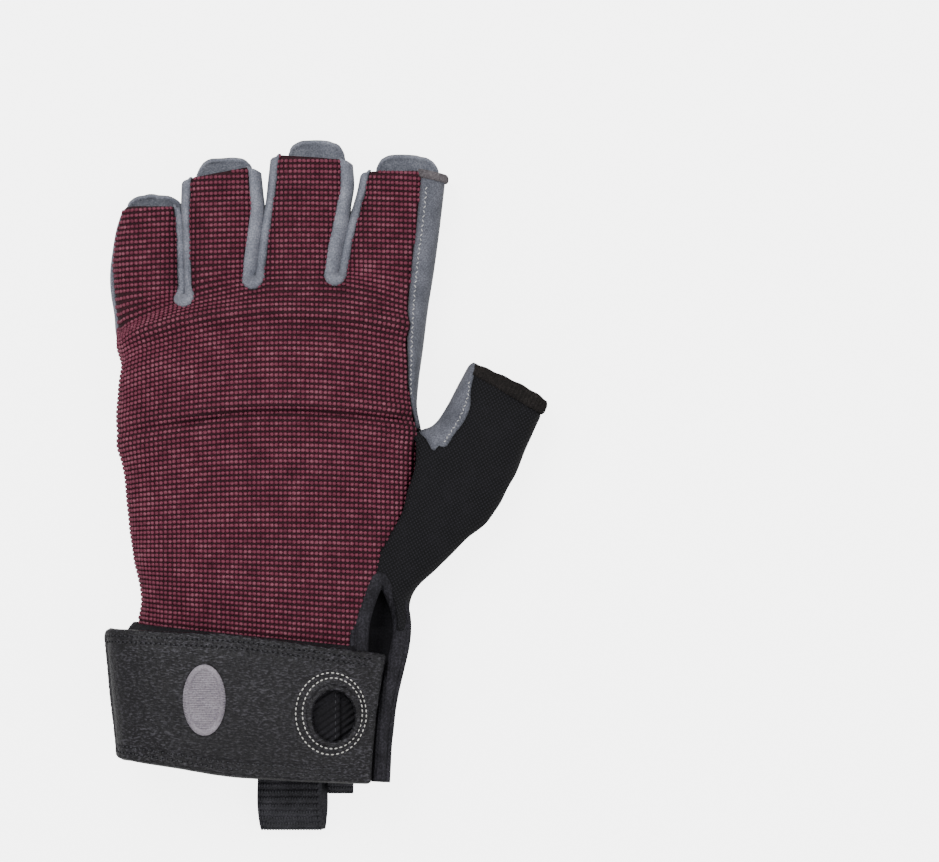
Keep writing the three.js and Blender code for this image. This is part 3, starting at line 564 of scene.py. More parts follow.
def lay_threads(name, points, along, up, size, material, tree=BEADS, long=None):
    """Lays one thread at each point, size (length, width, height) in mm, as one plain mesh."""
    mesh = bpy.data.meshes.new(name)
    mesh.from_pydata(metres(points), [], [])
    for label, kind, values, field in (
            ("along", "FLOAT_VECTOR", along, "vector"), ("up", "FLOAT_VECTOR", up, "vector"),
            ("long", "FLOAT", np.ones(len(points)) if long is None else long, "value")):
        attribute = mesh.attributes.new(label, kind, "POINT")
        attribute.data.foreach_set(field, np.asarray(values, np.float32).ravel())
    source = new_object(name, mesh)
    modifier = source.modifiers.new("threads", "NODES")
    modifier.node_group = tree
    values = dict(zip(("Length", "Width", "Height"), [s / 1000 for s in size]), Material=material)
    for item in tree.interface.items_tree:
        if item.in_out == "INPUT" and item.name in values:
            modifier[item.identifier] = values[item.name]
    bpy.context.view_layer.update()
    evaluated = source.evaluated_get(bpy.context.evaluated_depsgraph_get())
    plain = bpy.data.meshes.new_from_object(evaluated)
    source.modifiers.remove(modifier)
    source.data = plain
    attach(source, "root")
    triangles = sum(len(p.vertices) - 2 for p in plain.polygons)
    print(name, len(points), "threads,", triangles, "triangles")


def sew(name, lines, stitch, size, material, slant=0.0):
    """Even stitches along lines of (points, ups). slant turns them to a zigzag."""
    places, ways, ups = [], [], []
    for points, up in lines:
        far = lengths_along(points)
        count = max(1, int(round(far[-1] / stitch)))
        at = (np.arange(count) + 0.5) * far[-1] / count
        ahead, behind = (read_at(points, far, at + s * 0.3 * stitch) for s in (1, -1))
        way = ahead - behind
        sign = np.where(np.arange(count) % 2, 1, -1)[:, None]
        places.append(read_at(points, far, at))
        ups.append(read_at(up, far, at))
        ways.append(way + slant * sign * np.cross(ups[-1], way))
    lay_threads(name, np.vstack(places), np.vstack(ways), np.vstack(ups), size, material)


# %% [markdown]
# ## Cutting cloth
# A tailor cuts a flat outline and sews it over a form. The same is done here: an outline in the
# plan is filled with an even net of small triangles, the net is laid on the form, and the skin is
# pressed down along its seams, where thread pulls it in. Cutting and laying by rule, and not with
# a cutter on a block, keeps every seam smooth and lets stitches find the surface again.

# %% Nets of small triangles
# In a net of even triangles the rows are this share of a side apart
ROW_SHARE = 0.866


def inside_outline(points, outline):
    """Which points are inside a closed outline."""
    a, b = outline, np.roll(outline, -1, axis=0)
    odd = np.zeros(len(points), bool)
    for (ax, ay), (bx, by) in zip(a, b):
        if ay != by:
            crosses = (ay > points[:, 1]) != (by > points[:, 1])
            odd ^= crosses & (points[:, 0] < (bx - ax) * (points[:, 1] - ay) / (by - ay) + ax)
    return odd


def distance_to(points, line):
    """Distance of points to a polyline of close points."""
    tree = KDTree(len(line))
    for i, p in enumerate(line):
        tree.insert((p[0], p[1], 0), i)
    tree.balance()
    return np.array([tree.find((x, y, 0))[2] for x, y in points])


def net_over(outline, spacing):
    """Flat points and triangles that fill an outline evenly."""
    edge = spaced(closed_line(outline), spacing)[:-1]
    low, high = edge.min(0), edge.max(0)
    rows = []
    for i, y in enumerate(np.arange(low[1], high[1], spacing * ROW_SHARE)):
        x = np.arange(low[0] + spacing / 2 * (i % 2), high[0], spacing)
        rows.append(np.column_stack([x, np.full(len(x), y)]))
    grid = np.vstack(rows)
    grid = grid[inside_outline(grid, edge)]
    grid = grid[distance_to(grid, edge) > 0.55 * spacing]
    points = np.vstack([edge, grid])
    border = [(i, (i + 1) % len(edge)) for i in range(len(edge))]
    found = delaunay_2d_cdt([Vector(p) for p in points], border, [], 0, 1e-6)
    flat = np.array([tuple(v) for v in found[0]])
    faces = np.array([f for f in found[2] if len(f) == 3])
    kept = inside_outline(flat[faces].mean(axis=1), edge)
    return flat, faces[kept], edge


def face_normals(points, faces):
    """Normals at the points of a net, from its faces."""
    a, b, c = (points[faces[:, k]] for k in range(3))
    normal = np.cross(b - a, c - a)
    total = np.zeros_like(points)
    for k in range(3):
        np.add.at(total, faces[:, k], normal)
    return total / np.maximum(np.linalg.norm(total, axis=1), 1e-9)[:, None]


def ripple(points, size, seed):
    """Slow uneven waves between -1 and 1, the same on every run."""
    return np.array([noise.noise(Vector((x / size, y / size, seed))) for x, y in points])


def lay_on(outline, spacing, place, shape, flip=False):
    """Lays an outline's net on a form. shape gives how far the skin stands off, in mm."""
    flat, faces, edge = net_over(outline, spacing)
    if flip:
        faces = faces[:, ::-1]
    points = place(flat)
    points = points + face_normals(points, faces) * shape(flat, distance_to(flat, edge))[:, None]
    return {"flat": flat, "faces": faces, "points": points,
            "normals": face_normals(points, faces), "finder": None}


def on_skin(skin, places, lift=0.0):
    """Where places in the plan of a laid skin are in space, and the skin's upright there."""
    if skin["finder"] is None:
        skin["finder"] = BVHTree.FromPolygons(
            [(x, y, 0) for x, y in skin["flat"]], [tuple(map(int, f)) for f in skin["faces"]])
    points, ups = [], []
    for x, y in places:
        spot, _, index, _ = skin["finder"].find_nearest(Vector((x, y, 0)))
        corners = skin["faces"][index]
        a, b, c = skin["flat"][corners]
        area = (b[0] - a[0]) * (c[1] - a[1]) - (b[1] - a[1]) * (c[0] - a[0])
        v = ((spot.x - a[0]) * (c[1] - a[1]) - (spot.y - a[1]) * (c[0] - a[0])) / area
        w = ((b[0] - a[0]) * (spot.y - a[1]) - (b[1] - a[1]) * (spot.x - a[0])) / area
        share = np.array([1 - v - w, v, w])
        points.append(share @ skin["points"][corners])
        ups.append(share @ skin["normals"][corners])
    points, ups = np.array(points), np.array(ups)
    return points + ups * lift, ups


# %% [markdown]
# ## From nets to pieces
# A net is only the cloth's face. A wall of the cloth's own thickness goes behind it, with the
# lining's colour inside where that differs. Each piece rides on the one body and hides the
# piece of the CAD model it stands for.

# %% From nets to pieces of the glove


def piece(name, points, faces, material, nodes=(), wall=0.0, inner=None, plan=None):
    """A mesh of the glove in metres, with a wall behind its face, riding on the one body.
    plan gives each point's place in the flat cloth."""
    mesh = bpy.data.meshes.new(name)
    mesh.from_pydata(metres(points), [], [tuple(map(int, f)) for f in faces])
    mesh.polygons.foreach_set("use_smooth", [True] * len(mesh.polygons))
    mesh.materials.append(material)
    if inner:
        mesh.materials.append(inner)
    if plan is not None:
        uv = mesh.uv_layers.new(name="cloth")
        index = np.zeros(len(mesh.loops), int)
        mesh.loops.foreach_get("vertex_index", index)
        uv.data.foreach_set("uv", (np.asarray(plan)[index] / 1000).astype(np.float32).ravel())
    mesh.update()
    made = new_object(name, mesh)
    if wall:
        solid = made.modifiers.new("wall", "SOLIDIFY")
        solid.thickness = wall / 1000
        solid.offset = -1
        solid.material_offset = 1 if inner else 0
        solid.material_offset_rim = 1 if inner is lining and material is leather else 0
    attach(made, "root")
    if nodes:
        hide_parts(*nodes)
    print(name, len(faces), "faces")


def grid_faces(rows, columns, closed=False):
    """Faces of a grid of points, whose columns may run round and meet."""
    last = columns if closed else columns - 1
    return [(r * columns + c, r * columns + (c + 1) % columns,
             (r + 1) * columns + (c + 1) % columns, (r + 1) * columns + c)
            for r in range(rows - 1) for c in range(last)]


def grid_piece(name, grid, material, nodes=(), wall=0.0, flip=False):
    """A piece whose points stand in rows and columns. Its plan is the length along both."""
    rows, columns = grid.shape[:2]
    faces = grid_faces(rows, columns)
    if flip:
        faces = [f[::-1] for f in faces]
    down = np.cumsum(np.r_[0, np.linalg.norm(np.diff(grid, axis=0), axis=2).mean(1)])
    over = np.cumsum(np.r_[0, np.linalg.norm(np.diff(grid, axis=1), axis=2).mean(0)])
    plan = np.stack(np.meshgrid(over, down), axis=-1).reshape(-1, 2)
    piece(name, grid.reshape(-1, 3), faces, material, nodes, wall, plan=plan)


# %% [markdown]
# ## The seams round the fingers
# Between two fingers the back panel is cut in a U. A narrow suede strip is sewn into it, one edge
# to the back and the other to the palm. Both edges are drawn together here, point for point, so
# that back, strip and palm meet along the same two lines.

# %% The U between two fingers
CROTCH_DROP = 1.6
CROTCH_RADIUS = 2.2
STRIP_BEFORE = 1.35
STRIP_AFTER = {"little": 0.75, "ring": 2.8, "middle": 2.8}
STRIP_PULL = 0.6
SLIT_SHARE = 0.62
CROTCH_DEPTH = 2.9
SLIT_TOP = 121.4
LEG_SHARES = (1, 0.8, 0.6, 0.4, 0.2, 0.04)


def crotch(first, second):
    """Matched points of the U's upper edge at the back and lower edge at the palm."""
    left_edge = lambda y: finger_side(first, 2, y) - STRIP_AFTER[first]
    right_edge = lambda y: finger_side(second, 1, y) + STRIP_BEFORE
    slit = lambda y: left_edge(y) + SLIT_SHARE * (right_edge(y) - left_edge(y))
    middle = (left_edge(PALM_LENGTH) + right_edge(PALM_LENGTH)) / 2
    station, left, right, _, slope, bow = HAND[-1]
    u = across_share(middle, left, right)
    bottom = station + slope * u - bow * u * u - CROTCH_DROP
    upper, lower = [], []
    start = bottom + 2 * CROTCH_RADIUS
    for name, column, edge, side in ((first, 2, left_edge, -1), (second, 1, right_edge, 1)):
        end = PALM_LENGTH + FINGERS[name][0]
        tilt = FINGERS[name][1] * (-side)
        leg_upper, leg_lower = [], []
        for q in LEG_SHARES:
            y = start + q * (end + tilt - start)
            low_y = y - END_LEAN * q
            low_x = finger_side(name, column, low_y, END_LEAN) + STRIP_PULL * side * (side < 0)
            closed = np.clip((SLIT_TOP - low_y) / 4, 0, 1)
            low_x += closed * (slit(low_y) - low_x)
            low_x = min(low_x, slit(low_y) - 0.03) if side < 0 else max(low_x, slit(low_y) + 0.03)
            leg_upper.append((edge(y), y))
            leg_lower.append((low_x, low_y))
        if side > 0:
            leg_upper.reverse()
            leg_lower.reverse()
        else:
            for angle in np.radians((-70, -35, 0, 35, 70)):
                leg_upper.append((middle + CROTCH_RADIUS * math.sin(angle),
                                  bottom + CROTCH_RADIUS * (1 - math.cos(angle))))
                leg_lower.append((slit(start) + 0.3 * math.sin(angle), bottom + CROTCH_DEPTH))
        upper += leg_upper
        lower += leg_lower
    far = lengths_along(np.array(upper))
    at = np.linspace(0, far[-1], 130)
    return smooth_at(upper, far, at), smooth_at(lower, far, at)


names = list(FINGERS)
CROTCHES = {(a, b): crotch(a, b) for a, b in zip(names, names[1:])}
print("crotch bottoms", [u[:, 1].min().round(1) for u, _ in CROTCHES.values()])

# %% [markdown]
# ## The outer sides
# At the thumb's side the back ends in a seam that was read off the photograph. At the little
# finger's side the cloth has no seam above, so its line follows the hand's own side.

# %% The outer sides of the hand
BACK_SEAM = np.array([
    (1.04, 1.307), (1.035, 1.253), (1.012, 1.151), (0.985, 1.061), (0.964, 0.942), (0.96, 0.8),
    (0.977, 0.653), (1.003, 0.603), (1.023, 0.546), (1.016, 0.467), (0.97, 0.405),
    (0.934, 0.342), (0.855, 0.28), (0.79, 0.229), (0.768, 0.163)]) * (HALF_PALM, PALM_LENGTH)
INDEX_SIDE = np.array([
    (52.5, 130.6), (51.5, 121.5), (50.4, 112.5), (49.1, 103.0), (47.5, 93.0), (46.0, 81.0),
    (44.7, 71.0), (44.3, 64.5), (45.4, 58.4)])


def left_side(y):
    """The little finger's side of the hand, from the cuff to the finger's end."""
    y = np.asarray(y, float)
    station = np.array(y)
    for _ in range(12):
        slope, bow = rows_at(HAND, station)[3:]
        station = (station + y + slope + bow) / 2
    hand = rows_at(HAND, station)[0]
    little = finger_side("little", 1, y, END_LEAN)
    share = np.clip((y - 84) / 12, 0, 1)
    share = share**2 * (3 - 2 * share)
    return hand + share * (little - hand) - 0.9 * np.exp(-((y - 99) / 8) ** 2)


# %% [markdown]
# ## Cloth that turns down at a side
# On the little finger's side the back panel runs on round the hand to the palm's seam. Seen from
# above that part is almost upright, so a plan can't hold it. It is measured along the cloth
# instead: past a line 7 mm from the side, a place's distance is a length round the section.

# %% Turning down at the left side
TURN_START = 7.0


def turn_table(heights, side, bottom, low, high):
    """Sections of cloth that turns down at the left: for each row its x, z and length."""
    rows = []
    for y in np.linspace(low, high, 150):
        edge = float(side(y))
        x = edge + TURN_START * np.cos(np.linspace(0, math.pi / 2, 16))
        z = np.minimum.accumulate(heights(x + 0.01, np.full(16, y)))
        down = np.linspace(z[-1], bottom, 6)[1:]
        x, z = np.r_[x, np.full(5, edge)], np.r_[z, down]
        z = np.maximum(z, bottom)
        rows.append((x, z, lengths_along(np.column_stack([x, z]))))
    return np.linspace(low, high, 150), rows


def turned_place(heights, side, table):
    """A function that lays plan places on the form, and turns down those past the left side."""
    levels, rows = table

    def place(flat):
        x, y = flat[:, 0].copy(), flat[:, 1]
        z = heights(x, y)
        past = side(y) + TURN_START - x
        for i in np.flatnonzero(past > 0):
            k = np.clip(np.searchsorted(levels, y[i]) - 1, 0, len(levels) - 2)
            share = (y[i] - levels[k]) / (levels[k + 1] - levels[k])
            both = [(np.interp(past[i], s, rx), np.interp(past[i], s, rz))
                    for rx, rz, s in rows[k:k + 2]]
            x[i], z[i] = (1 - share) * np.array(both[0]) + share * np.array(both[1])
        return np.column_stack([x, y, z])

    return place


def turn_edge(side, table, y):
    """Where the cloth's lower left edge is in the plan of the cloth."""
    levels, rows = table
    return side(y) + TURN_START - np.interp(y, levels, [s[-1] for _, _, s in rows])


# %% [markdown]
# ## The back panel
# The back is one piece of stretch weave from the wrist to the four finger ends. It could be a
# smooth shell with a picture of a weave on it, but the raised floats of the yarn show from every
# side, so the panel here is the dark ground of the weave and the floats are laid on it next.

# %% Folds of the back panel
back_table = turn_table(top_height, left_side, SEAM_HEIGHT, -4, 124)
back_place = turned_place(top_height, left_side, back_table)
RIDGE = from_photo((60, 360), (118, 340), (190, 320), (255, 311), (330, 314), (408, 325),
                   (440, 330))
CREASE = from_photo((60, 436), (155, 428), (195, 423), (235, 414), (295, 411), (335, 415),
                    (395, 418), (440, 420))


def bump_along(distance, width):
    """A soft bump beside a line."""
    return np.exp(-(distance / width) ** 2)


def back_folds(flat, edge):
    """How far the back stands off its form: a ridge, a crease, soft waves and sunken seams."""
    x, y = flat.T
    from_ridge = y - np.interp(x, *RIDGE.T)
    from_crease = y - np.interp(x, *CREASE.T)
    inside = np.clip((x - left_side(y)) / 8, 0.15, 1)
    deep = (0.35 + 0.65 * np.clip((x + 32) / 14, 0, 1)) * np.clip(edge / 4, 0.2, 1) * inside
    hems = np.zeros(len(x))
    for name, (reach, _, _) in FINGERS.items():
        on_finger = np.abs(finger_place(name, x, y)[0]) < 1.1
        hems -= 0.55 * on_finger * bump_along(PALM_LENGTH + reach - y - 6.4, 0.7)
    return (
        hems + 1.6 * inside * bump_along(from_ridge, 2.1) - 0.7 * bump_along(from_ridge + 5.5, 3)
        - 1.9 * deep * bump_along(from_crease, 0.9)
        + 1.1 * deep * bump_along(from_crease - 2.8, 2) + 0.6 * bump_along(from_crease + 4, 3)
        + 0.45 * ripple(flat, 16, 3.1) + 0.2 * ripple(flat, 6, 8.7)
        + 0.4 * np.sin(0.9 * x + 2 * ripple(flat, 12, 5.5)) * bump_along(y - 1, 7)
        - 0.9 * bump_along(edge, 0.8)
    )


# %% [markdown]
# ## The back panel's cut
# The outline runs up the little finger, round the three slits, down the thumb's side, along the
# vent and back across the wrist, where the strap will hide it.

# %% The back panel's outline and mesh
WALL = 1.2
# The wrist's seam leans across the hand: its middle and half width, and its rise at the side
WRIST_MIDDLE, WRIST_HALF, WRIST_SLOPE = 3.5, 38.5, 3.96
VENT_LEFT = np.array([(0.72, 0.13), (0.68, 0.085), (0.65, 0.035), (0.64, -0.01)]) * (
    HALF_PALM, PALM_LENGTH)
left_levels = np.linspace(1.4, PALM_LENGTH + FINGERS["little"][0], 90)
left_edge_line = np.column_stack([turn_edge(left_side, back_table, left_levels), left_levels])
uppers = [u for u, _ in CROTCHES.values()]
wrist_x = np.linspace(28.2, left_edge_line[0, 0] + 8, 20)
wrist_u = np.clip((wrist_x - WRIST_MIDDLE) / WRIST_HALF, -1, 1)
wrist_line = np.column_stack([wrist_x, -WRIST_SLOPE * wrist_u - 1.9])
back_outline = np.vstack([
    left_edge_line, *uppers, smooth_line(BACK_SEAM[:9], 1), smooth_line(BACK_SEAM[8:], 1)[1:],
    VENT_LEFT, wrist_line])
back_skin = lay_on(back_outline, 1.15, back_place, back_folds)
if back_skin["normals"][:, 2].mean() < 0:
    raise RuntimeError("the back panel is inside out")
piece("back_panel_ground", back_skin["points"], back_skin["faces"], nylon_ground,
      ["back_panel"], WALL, lining)

# %% [markdown]
# ## The floats of the weave
# Every float is a short raised loop of yarn, 1.3 mm long, in rows 1.5 mm apart. The rows
# follow the cloth, which fans out from the wrist. Laying some ten thousand small beads with
# Geometry Nodes gives the true relief, where a bump map would only shade it.

# %% Floats in rows
FLOAT_PITCH = 1.26
ROW_PITCH = 1.52
FLOAT_SIZE = (1.4, 1.24, 0.62)


def float_places():
    """Where the floats are in the cloth's plan, and how far each leans out of its row."""
    stations = np.arange(-4, 146, ROW_PITCH)
    across = np.arange(-66, 50, FLOAT_PITCH)
    x, station = np.meshgrid(across, stations)
    left, right, _, slope, bow = rows_at(HAND, station)
    u = np.clip(across_share(x, left, right), -1, 1)
    drop = slope * u - bow * u * u
    middles = np.array([HALF_PALM * (rows[2][1] + rows[2][2]) / 2
                        for _, _, rows in FINGERS.values()])
    own = middles[np.argmin(np.abs(x[..., None] - middles), axis=-1)]
    own_u = across_share(own, left, right)
    own_drop = slope * own_u - bow * own_u**2
    is_little = own == middles[0]
    straight = 0.85 * np.clip((station + own_drop - np.where(is_little, 89, 97)) / 9, 0, 1)
    drop = drop + straight * (own_drop - drop)
    flat = np.column_stack([x.ravel(), (station + drop).ravel()])
    tilt = ((slope - 2 * bow * u) / ((right - left) / 2) * (1 - straight)).ravel()
    tilt = tilt * (np.abs(u.ravel()) < 1)
    edge = spaced(closed_line(back_outline), 0.5)
    kept = inside_outline(flat, edge)
    flat, tilt = flat[kept], tilt[kept]
    kept = distance_to(flat, edge) > 0.3
    return flat[kept], tilt[kept]


flat, tilt = float_places()
way = np.column_stack([np.ones(len(tilt)), tilt])
spots, ups = on_skin(back_skin, flat, 0.12)
along = on_skin(back_skin, flat + 0.4 * way)[0] - on_skin(back_skin, flat - 0.4 * way)[0]
on_fingers = flat[:, 1] > 88
for label, chosen in (("hand", ~on_fingers), ("fingers", on_fingers)):
    lay_threads(f"weave_floats_{label}", spots[chosen], along[chosen], ups[chosen],
                FLOAT_SIZE, nylon_float)

# %% [markdown]
# ## The suede strips
# A strip starts under the back panel's edge, swells out beside the finger and turns down to the
# palm. Its section is a quarter of a superellipse between the two edges drawn before.

# %% Strips between the fingers
TUCK = 0.6


def strip_grid(upper, lower, columns, top, bulge=0.55):
    """Rows across a strip, from its edge at the back down to its edge at the palm."""
    turn = np.linspace(0, math.pi / 2, columns)
    over, down = np.sin(turn) ** (0.75), np.cos(turn) ** bulge
    grid = []
    for (ux, uy), (lx, ly), z in zip(upper, lower, top):
        way = np.array([lx - ux, ly - uy])
        wide = max(np.linalg.norm(way), 0.5)
        way = way / wide
        rise = np.clip(over * wide / 0.9, 0, 1)
        x = ux + way[0] * (over * (wide + TUCK) - TUCK)
        y = uy + way[1] * (over * (wide + TUCK) - TUCK)
        z_line = SEAM_HEIGHT + (z - SEAM_HEIGHT) * down - 1.3 * (1 - rise) ** 1.5
        grid.append(np.column_stack([x, y, np.maximum(z_line, SEAM_HEIGHT - 1)]))
    return np.array(grid)


for (first, second), (upper, lower) in CROTCHES.items():
    top = top_height(upper[:, 0], upper[:, 1]) - 0.1
    grid = strip_grid(upper, lower, 14, top)
    # The strips take the suede's lighter copy, painted light
    grid_piece(f"strip_{first}_{second}", grid, suede_painted_lit,
               [f"fourchette_{first}_{second}"], 0.8)

# %% [markdown]
# ## The index finger's side
# The suede strip beside the index finger is made like the others, between the back's seam and
# the palm's edge. It narrows to a point at the thumb.

# %% The suede side of the index finger
side_seam = np.vstack([BACK_SEAM[:8], [(44.5, 57.9)]])
side_far = lengths_along(side_seam)
side_at = np.linspace(0, side_far[-1], 90)
side_upper = smooth_at(side_seam, side_far, side_at)
low_far = lengths_along(INDEX_SIDE)
side_lower = smooth_at(INDEX_SIDE, low_far, side_at / side_far[-1] * low_far[-1])
side_grid = strip_grid(side_upper, side_lower, 18, top_height(*side_upper.T) + 0.35, 0.62)
# The strip laps over the palm's edge, which is pulled in by its seam
lap = [side_grid[:, -1:] + step for step in ((-0.1, 0, -1.6), (-0.6, 0, -3.0))]
side_grid = np.concatenate([side_grid, *lap], axis=1)
# The index side takes the suede's darker copy, painted shade
grid_piece("index_side", side_grid, suede_painted_shade, ["index_side_panel"], 0.9,
           flip=True)

# %% [markdown]
# ## The folded hem
# At its open end the strip's edge is folded over and shows its browner backing as a small roll.

# %% The folded hem at the top of the index finger's side
hem_middle = side_grid[1]
hem_up = unit(np.cross(side_grid[2] - hem_middle, np.gradient(hem_middle, axis=0)))
index_hem = np.array([
    hem_middle + 1.25 * math.cos(t) * np.array([0, 1, 0]) + (0.2 + 0.75 * math.sin(t)) * hem_up
    for t in np.linspace(-0.15 * math.pi, 1.15 * math.pi, 11)])
grid_piece("index_hem", index_hem, suede_edge, (), 0.3, flip=True)

# %% [markdown]
# ## The palm
# The palm is microfibre suede that lies flat on the table and curls up at its sides to meet the
# back and the strips. It is cut and laid in the same way as the back, with its face down.

# %% The palm and the patch at the index finger
CURL = 3.6
PATCH_SEAM = np.array([
    (1.105, 1.02), (1.052, 0.97), (0.883, 0.914), (0.623, 0.849), (0.403, 0.806), (0.318, 0.781),
    (0.296, 0.743), (0.331, 0.69), (0.416, 0.642), (0.649, 0.625), (0.929, 0.605),
    (1.032, 0.578)]) * (HALF_PALM, PALM_LENGTH)
THUMB_SEAM = np.array([
    (1.032, 0.578), (1.104, 0.532), (1.058, 0.461), (0.994, 0.407), (0.766, 0.294),
    (0.617, 0.184), (0.52, 0.093), (0.474, -0.02)]) * (HALF_PALM, PALM_LENGTH)
left_levels = np.linspace(2.6, PALM_LENGTH + FINGERS["little"][0] - END_LEAN, 80)
palm_left = np.column_stack([left_side(left_levels), left_levels])
index_low = smooth_line(INDEX_SIDE, 1.0)
patch_start = int(np.argmin(np.linalg.norm(index_low - PATCH_SEAM[0], axis=1)))
patch_line = smooth_line(PATCH_SEAM, 1.0)
thumb_line = smooth_line(THUMB_SEAM, 1.0)
lowers = [low for _, low in CROTCHES.values()]
raised = spaced(np.vstack([palm_left, *lowers, index_low]), 0.5)
finger_ends = [(palm_left[-1], lowers[0][0]), (lowers[0][-1], lowers[1][0]),
               (lowers[1][-1], lowers[2][0]), (lowers[2][-1], index_low[0])]
gaps = np.vstack([np.linspace(a, b, 12)[1:-1] for a, b in finger_ends])
raised = raised[distance_to(raised, gaps) > 0.8]


def palm_place(flat):
    """The palm's skin, curled up to the edges that meet the back and the strips."""
    z = under_height(*flat.T)
    near = np.clip(1 - distance_to(flat, raised) / CURL, 0, 1)
    curled = SEAM_HEIGHT * (1 - np.sqrt(np.maximum(1 - near**2, 0)))
    return np.column_stack([flat, np.maximum(z, curled)])


def pressed_seams(flat, edge):
    """Soft waves, and edges that the thread pulls in."""
    return -0.25 * np.abs(ripple(flat, 14, 2.2)) - 0.7 * bump_along(edge, 0.8)


cuff_x = np.linspace(thumb_line[-1][0], palm_left[0][0], 12)[1:-1]
palm_outline = np.vstack([
    palm_left, *lowers, index_low[:patch_start], patch_line, thumb_line[1:],
    np.column_stack([cuff_x, -WRIST_SLOPE * (cuff_x - WRIST_MIDDLE) / WRIST_HALF - 0.5])])
palm_skin = lay_on(palm_outline, 1.25, palm_place, pressed_seams, flip=True)
piece("palm", palm_skin["points"], palm_skin["faces"], suede,
      ["palm_panel"], WALL, lining)
patch_outline = np.vstack([index_low[patch_start:], patch_line[::-1]])
patch_skin = lay_on(patch_outline, 1.2, palm_place, pressed_seams, flip=True)
piece("index_patch", patch_skin["points"], patch_skin["faces"], suede,
      ["palm_patch"], WALL, lining)

# %% [markdown]
# ## The thumb
# The thumb is a tube that slants out of the hand. Its cloth is measured round the tube and along
# it, so a seam can pass from the top over the side to the underside without a break. Where the
# tube meets the hand, the higher of the two skins is taken.

# %% The thumb's tube
THUMB_LENGTH = 68.0
HALF_THUMB = 12.15
THUMB_HEIGHT = 19.0
THUMB_END = np.array([1.6 * HALF_PALM, 0.71 * PALM_LENGTH])
THUMB_OUT = np.array([math.cos(math.radians(60)), math.sin(math.radians(60))])
THUMB_SIDE = np.array([THUMB_OUT[1], -THUMB_OUT[0]])
# columns: back from the open end, inner and outer side, height, lift
THUMB = np.array([
    (0.0, 0.985, 1.035, 0.88, 1.2), (0.05, 1.0, 1.06, 0.9, 1.0), (0.168, 0.99, 1.12, 0.96, 0.6),
    (0.265, 0.985, 1.18, 0.99, 0.2), (0.3, 1.01, 1.2, 1.0, 0.0), (0.332, 1.09, 1.22, 1.01, 0.0),
    (0.365, 1.33, 1.23, 1.02, 0.0), (0.41, 1.66, 1.245, 1.04, 0.0), (0.475, 1.95, 1.26, 1.06, 0.0),
    (0.55, 2.1, 1.235, 1.1, 0.0), (0.664, 1.9, 1.0, 1.1, 0.0),
    (0.815, 1.5, 0.78, 1.08, 0.0), (1.0, 1.0, 0.565, 1.08, 0.0), (1.12, 0.9, 0.92, 1.2, 0.0)])
THUMB = THUMB * (THUMB_LENGTH, HALF_THUMB, HALF_THUMB, THUMB_HEIGHT, 1)
turn = np.linspace(math.pi, -math.pi, 721)
ring_across = np.sign(np.cos(turn)) * np.where(
    turn >= 0, np.abs(np.cos(turn)) ** (2 / 3), np.abs(np.cos(turn)) ** 0.5)
ring_rise = np.where(turn >= 0, np.abs(np.sin(turn)) ** (2 / 3), np.abs(np.sin(turn)) ** 0.5)
MID_RING, TOP_RING = 8.0, 19.0
ring_z = np.where(turn >= 0, MID_RING + (TOP_RING - MID_RING) * ring_rise,
                  np.maximum(0, MID_RING - (MID_RING + 2) * ring_rise))
ring_round = lengths_along(np.column_stack([14 * ring_across, ring_z]))
RING_TOP, RING_ALL = ring_round[360], ring_round[-1]


def thumb_cloth(plan_line, top):
    """Plan places on the thumb's top or underside as places in its cloth (round, back)."""
    away = np.asarray(plan_line) - THUMB_END
    back, side = -away @ THUMB_OUT, away @ THUMB_SIDE
    inner, outer, _, _ = rows_at(THUMB, back)
    u = np.clip((side - (outer - inner) / 2) / ((outer + inner) / 2), -1, 1)
    angle = np.arccos(np.sign(u) * np.abs(u) ** (1.5 if top else 2.0)) * (1 if top else -1)
    return np.column_stack([np.interp(-angle, -turn, ring_round), back])


def thumb_place(flat):
    """Lays the thumb's cloth on its tube, and on the hand where the hand is higher."""
    round_, back = flat[:, 0] % RING_ALL, flat[:, 1]
    inner, outer, height, lift = rows_at(THUMB, back)
    u = np.interp(round_, ring_round, ring_across)
    rise = np.interp(round_, ring_round, ring_rise)
    side = (outer - inner) / 2 + u * (outer + inner) / 2
    plan = THUMB_END - back[:, None] * THUMB_OUT + side[:, None] * THUMB_SIDE
    middle = lift + WIDEST_SHARE * (height - lift)
    top = middle + (height - middle) * rise
    low = np.maximum(lift, middle - (middle - lift + 2) * rise)
    u_hand, station, hand_top = hand_place(*plan.T)
    over = soft_max(top, mound(u_hand, hand_top), 1.5) - 0.2
    under = np.minimum(low, hollow(u_hand, hand_top))
    return np.column_stack([plan, np.where(round_ < RING_TOP, over, under)])


# %% [markdown]
# ## The thumb's seams
# Three cloths meet on the thumb: the knit over its back, a ribbed hem at its open end and the
# suede inside. Their seams were read off the two pictures, and are moved here from the plan to
# the thumb's own cloth.

# %% The thumb's seams
HEM = 3.4
GREY_SEAM = from_photo(
    (415, 426.5), (419, 429.5), (423, 433.5), (427.5, 440), (431, 447), (434, 451), (436.5, 448.5),
    (439.2, 445), (442, 446.6), (445.2, 447.3), (448.8, 443), (452.3, 436.8), (462, 424),
    (468, 413), (470.4, 403), (469.8, 395), (470.6, 386), (473, 374), (475.2, 364), (477, 353))
KNIT_SEAM = np.array([
    (1.72, 0.69), (1.675, 0.668), (1.604, 0.614), (1.552, 0.523), (1.409, 0.413), (1.136, 0.294),
    (0.864, 0.187), (0.714, 0.107), (0.655, 0.031), (0.643, -0.02)]) * (HALF_PALM, PALM_LENGTH)
VENT_RIGHT = np.array([
    (0.768, 0.163), (0.82, 0.14), (0.865, 0.1), (0.898, 0.055), (0.905, 0.0)]) * (
    HALF_PALM, PALM_LENGTH)
grey_top = thumb_cloth(smooth_line(GREY_SEAM, 0.8), True)
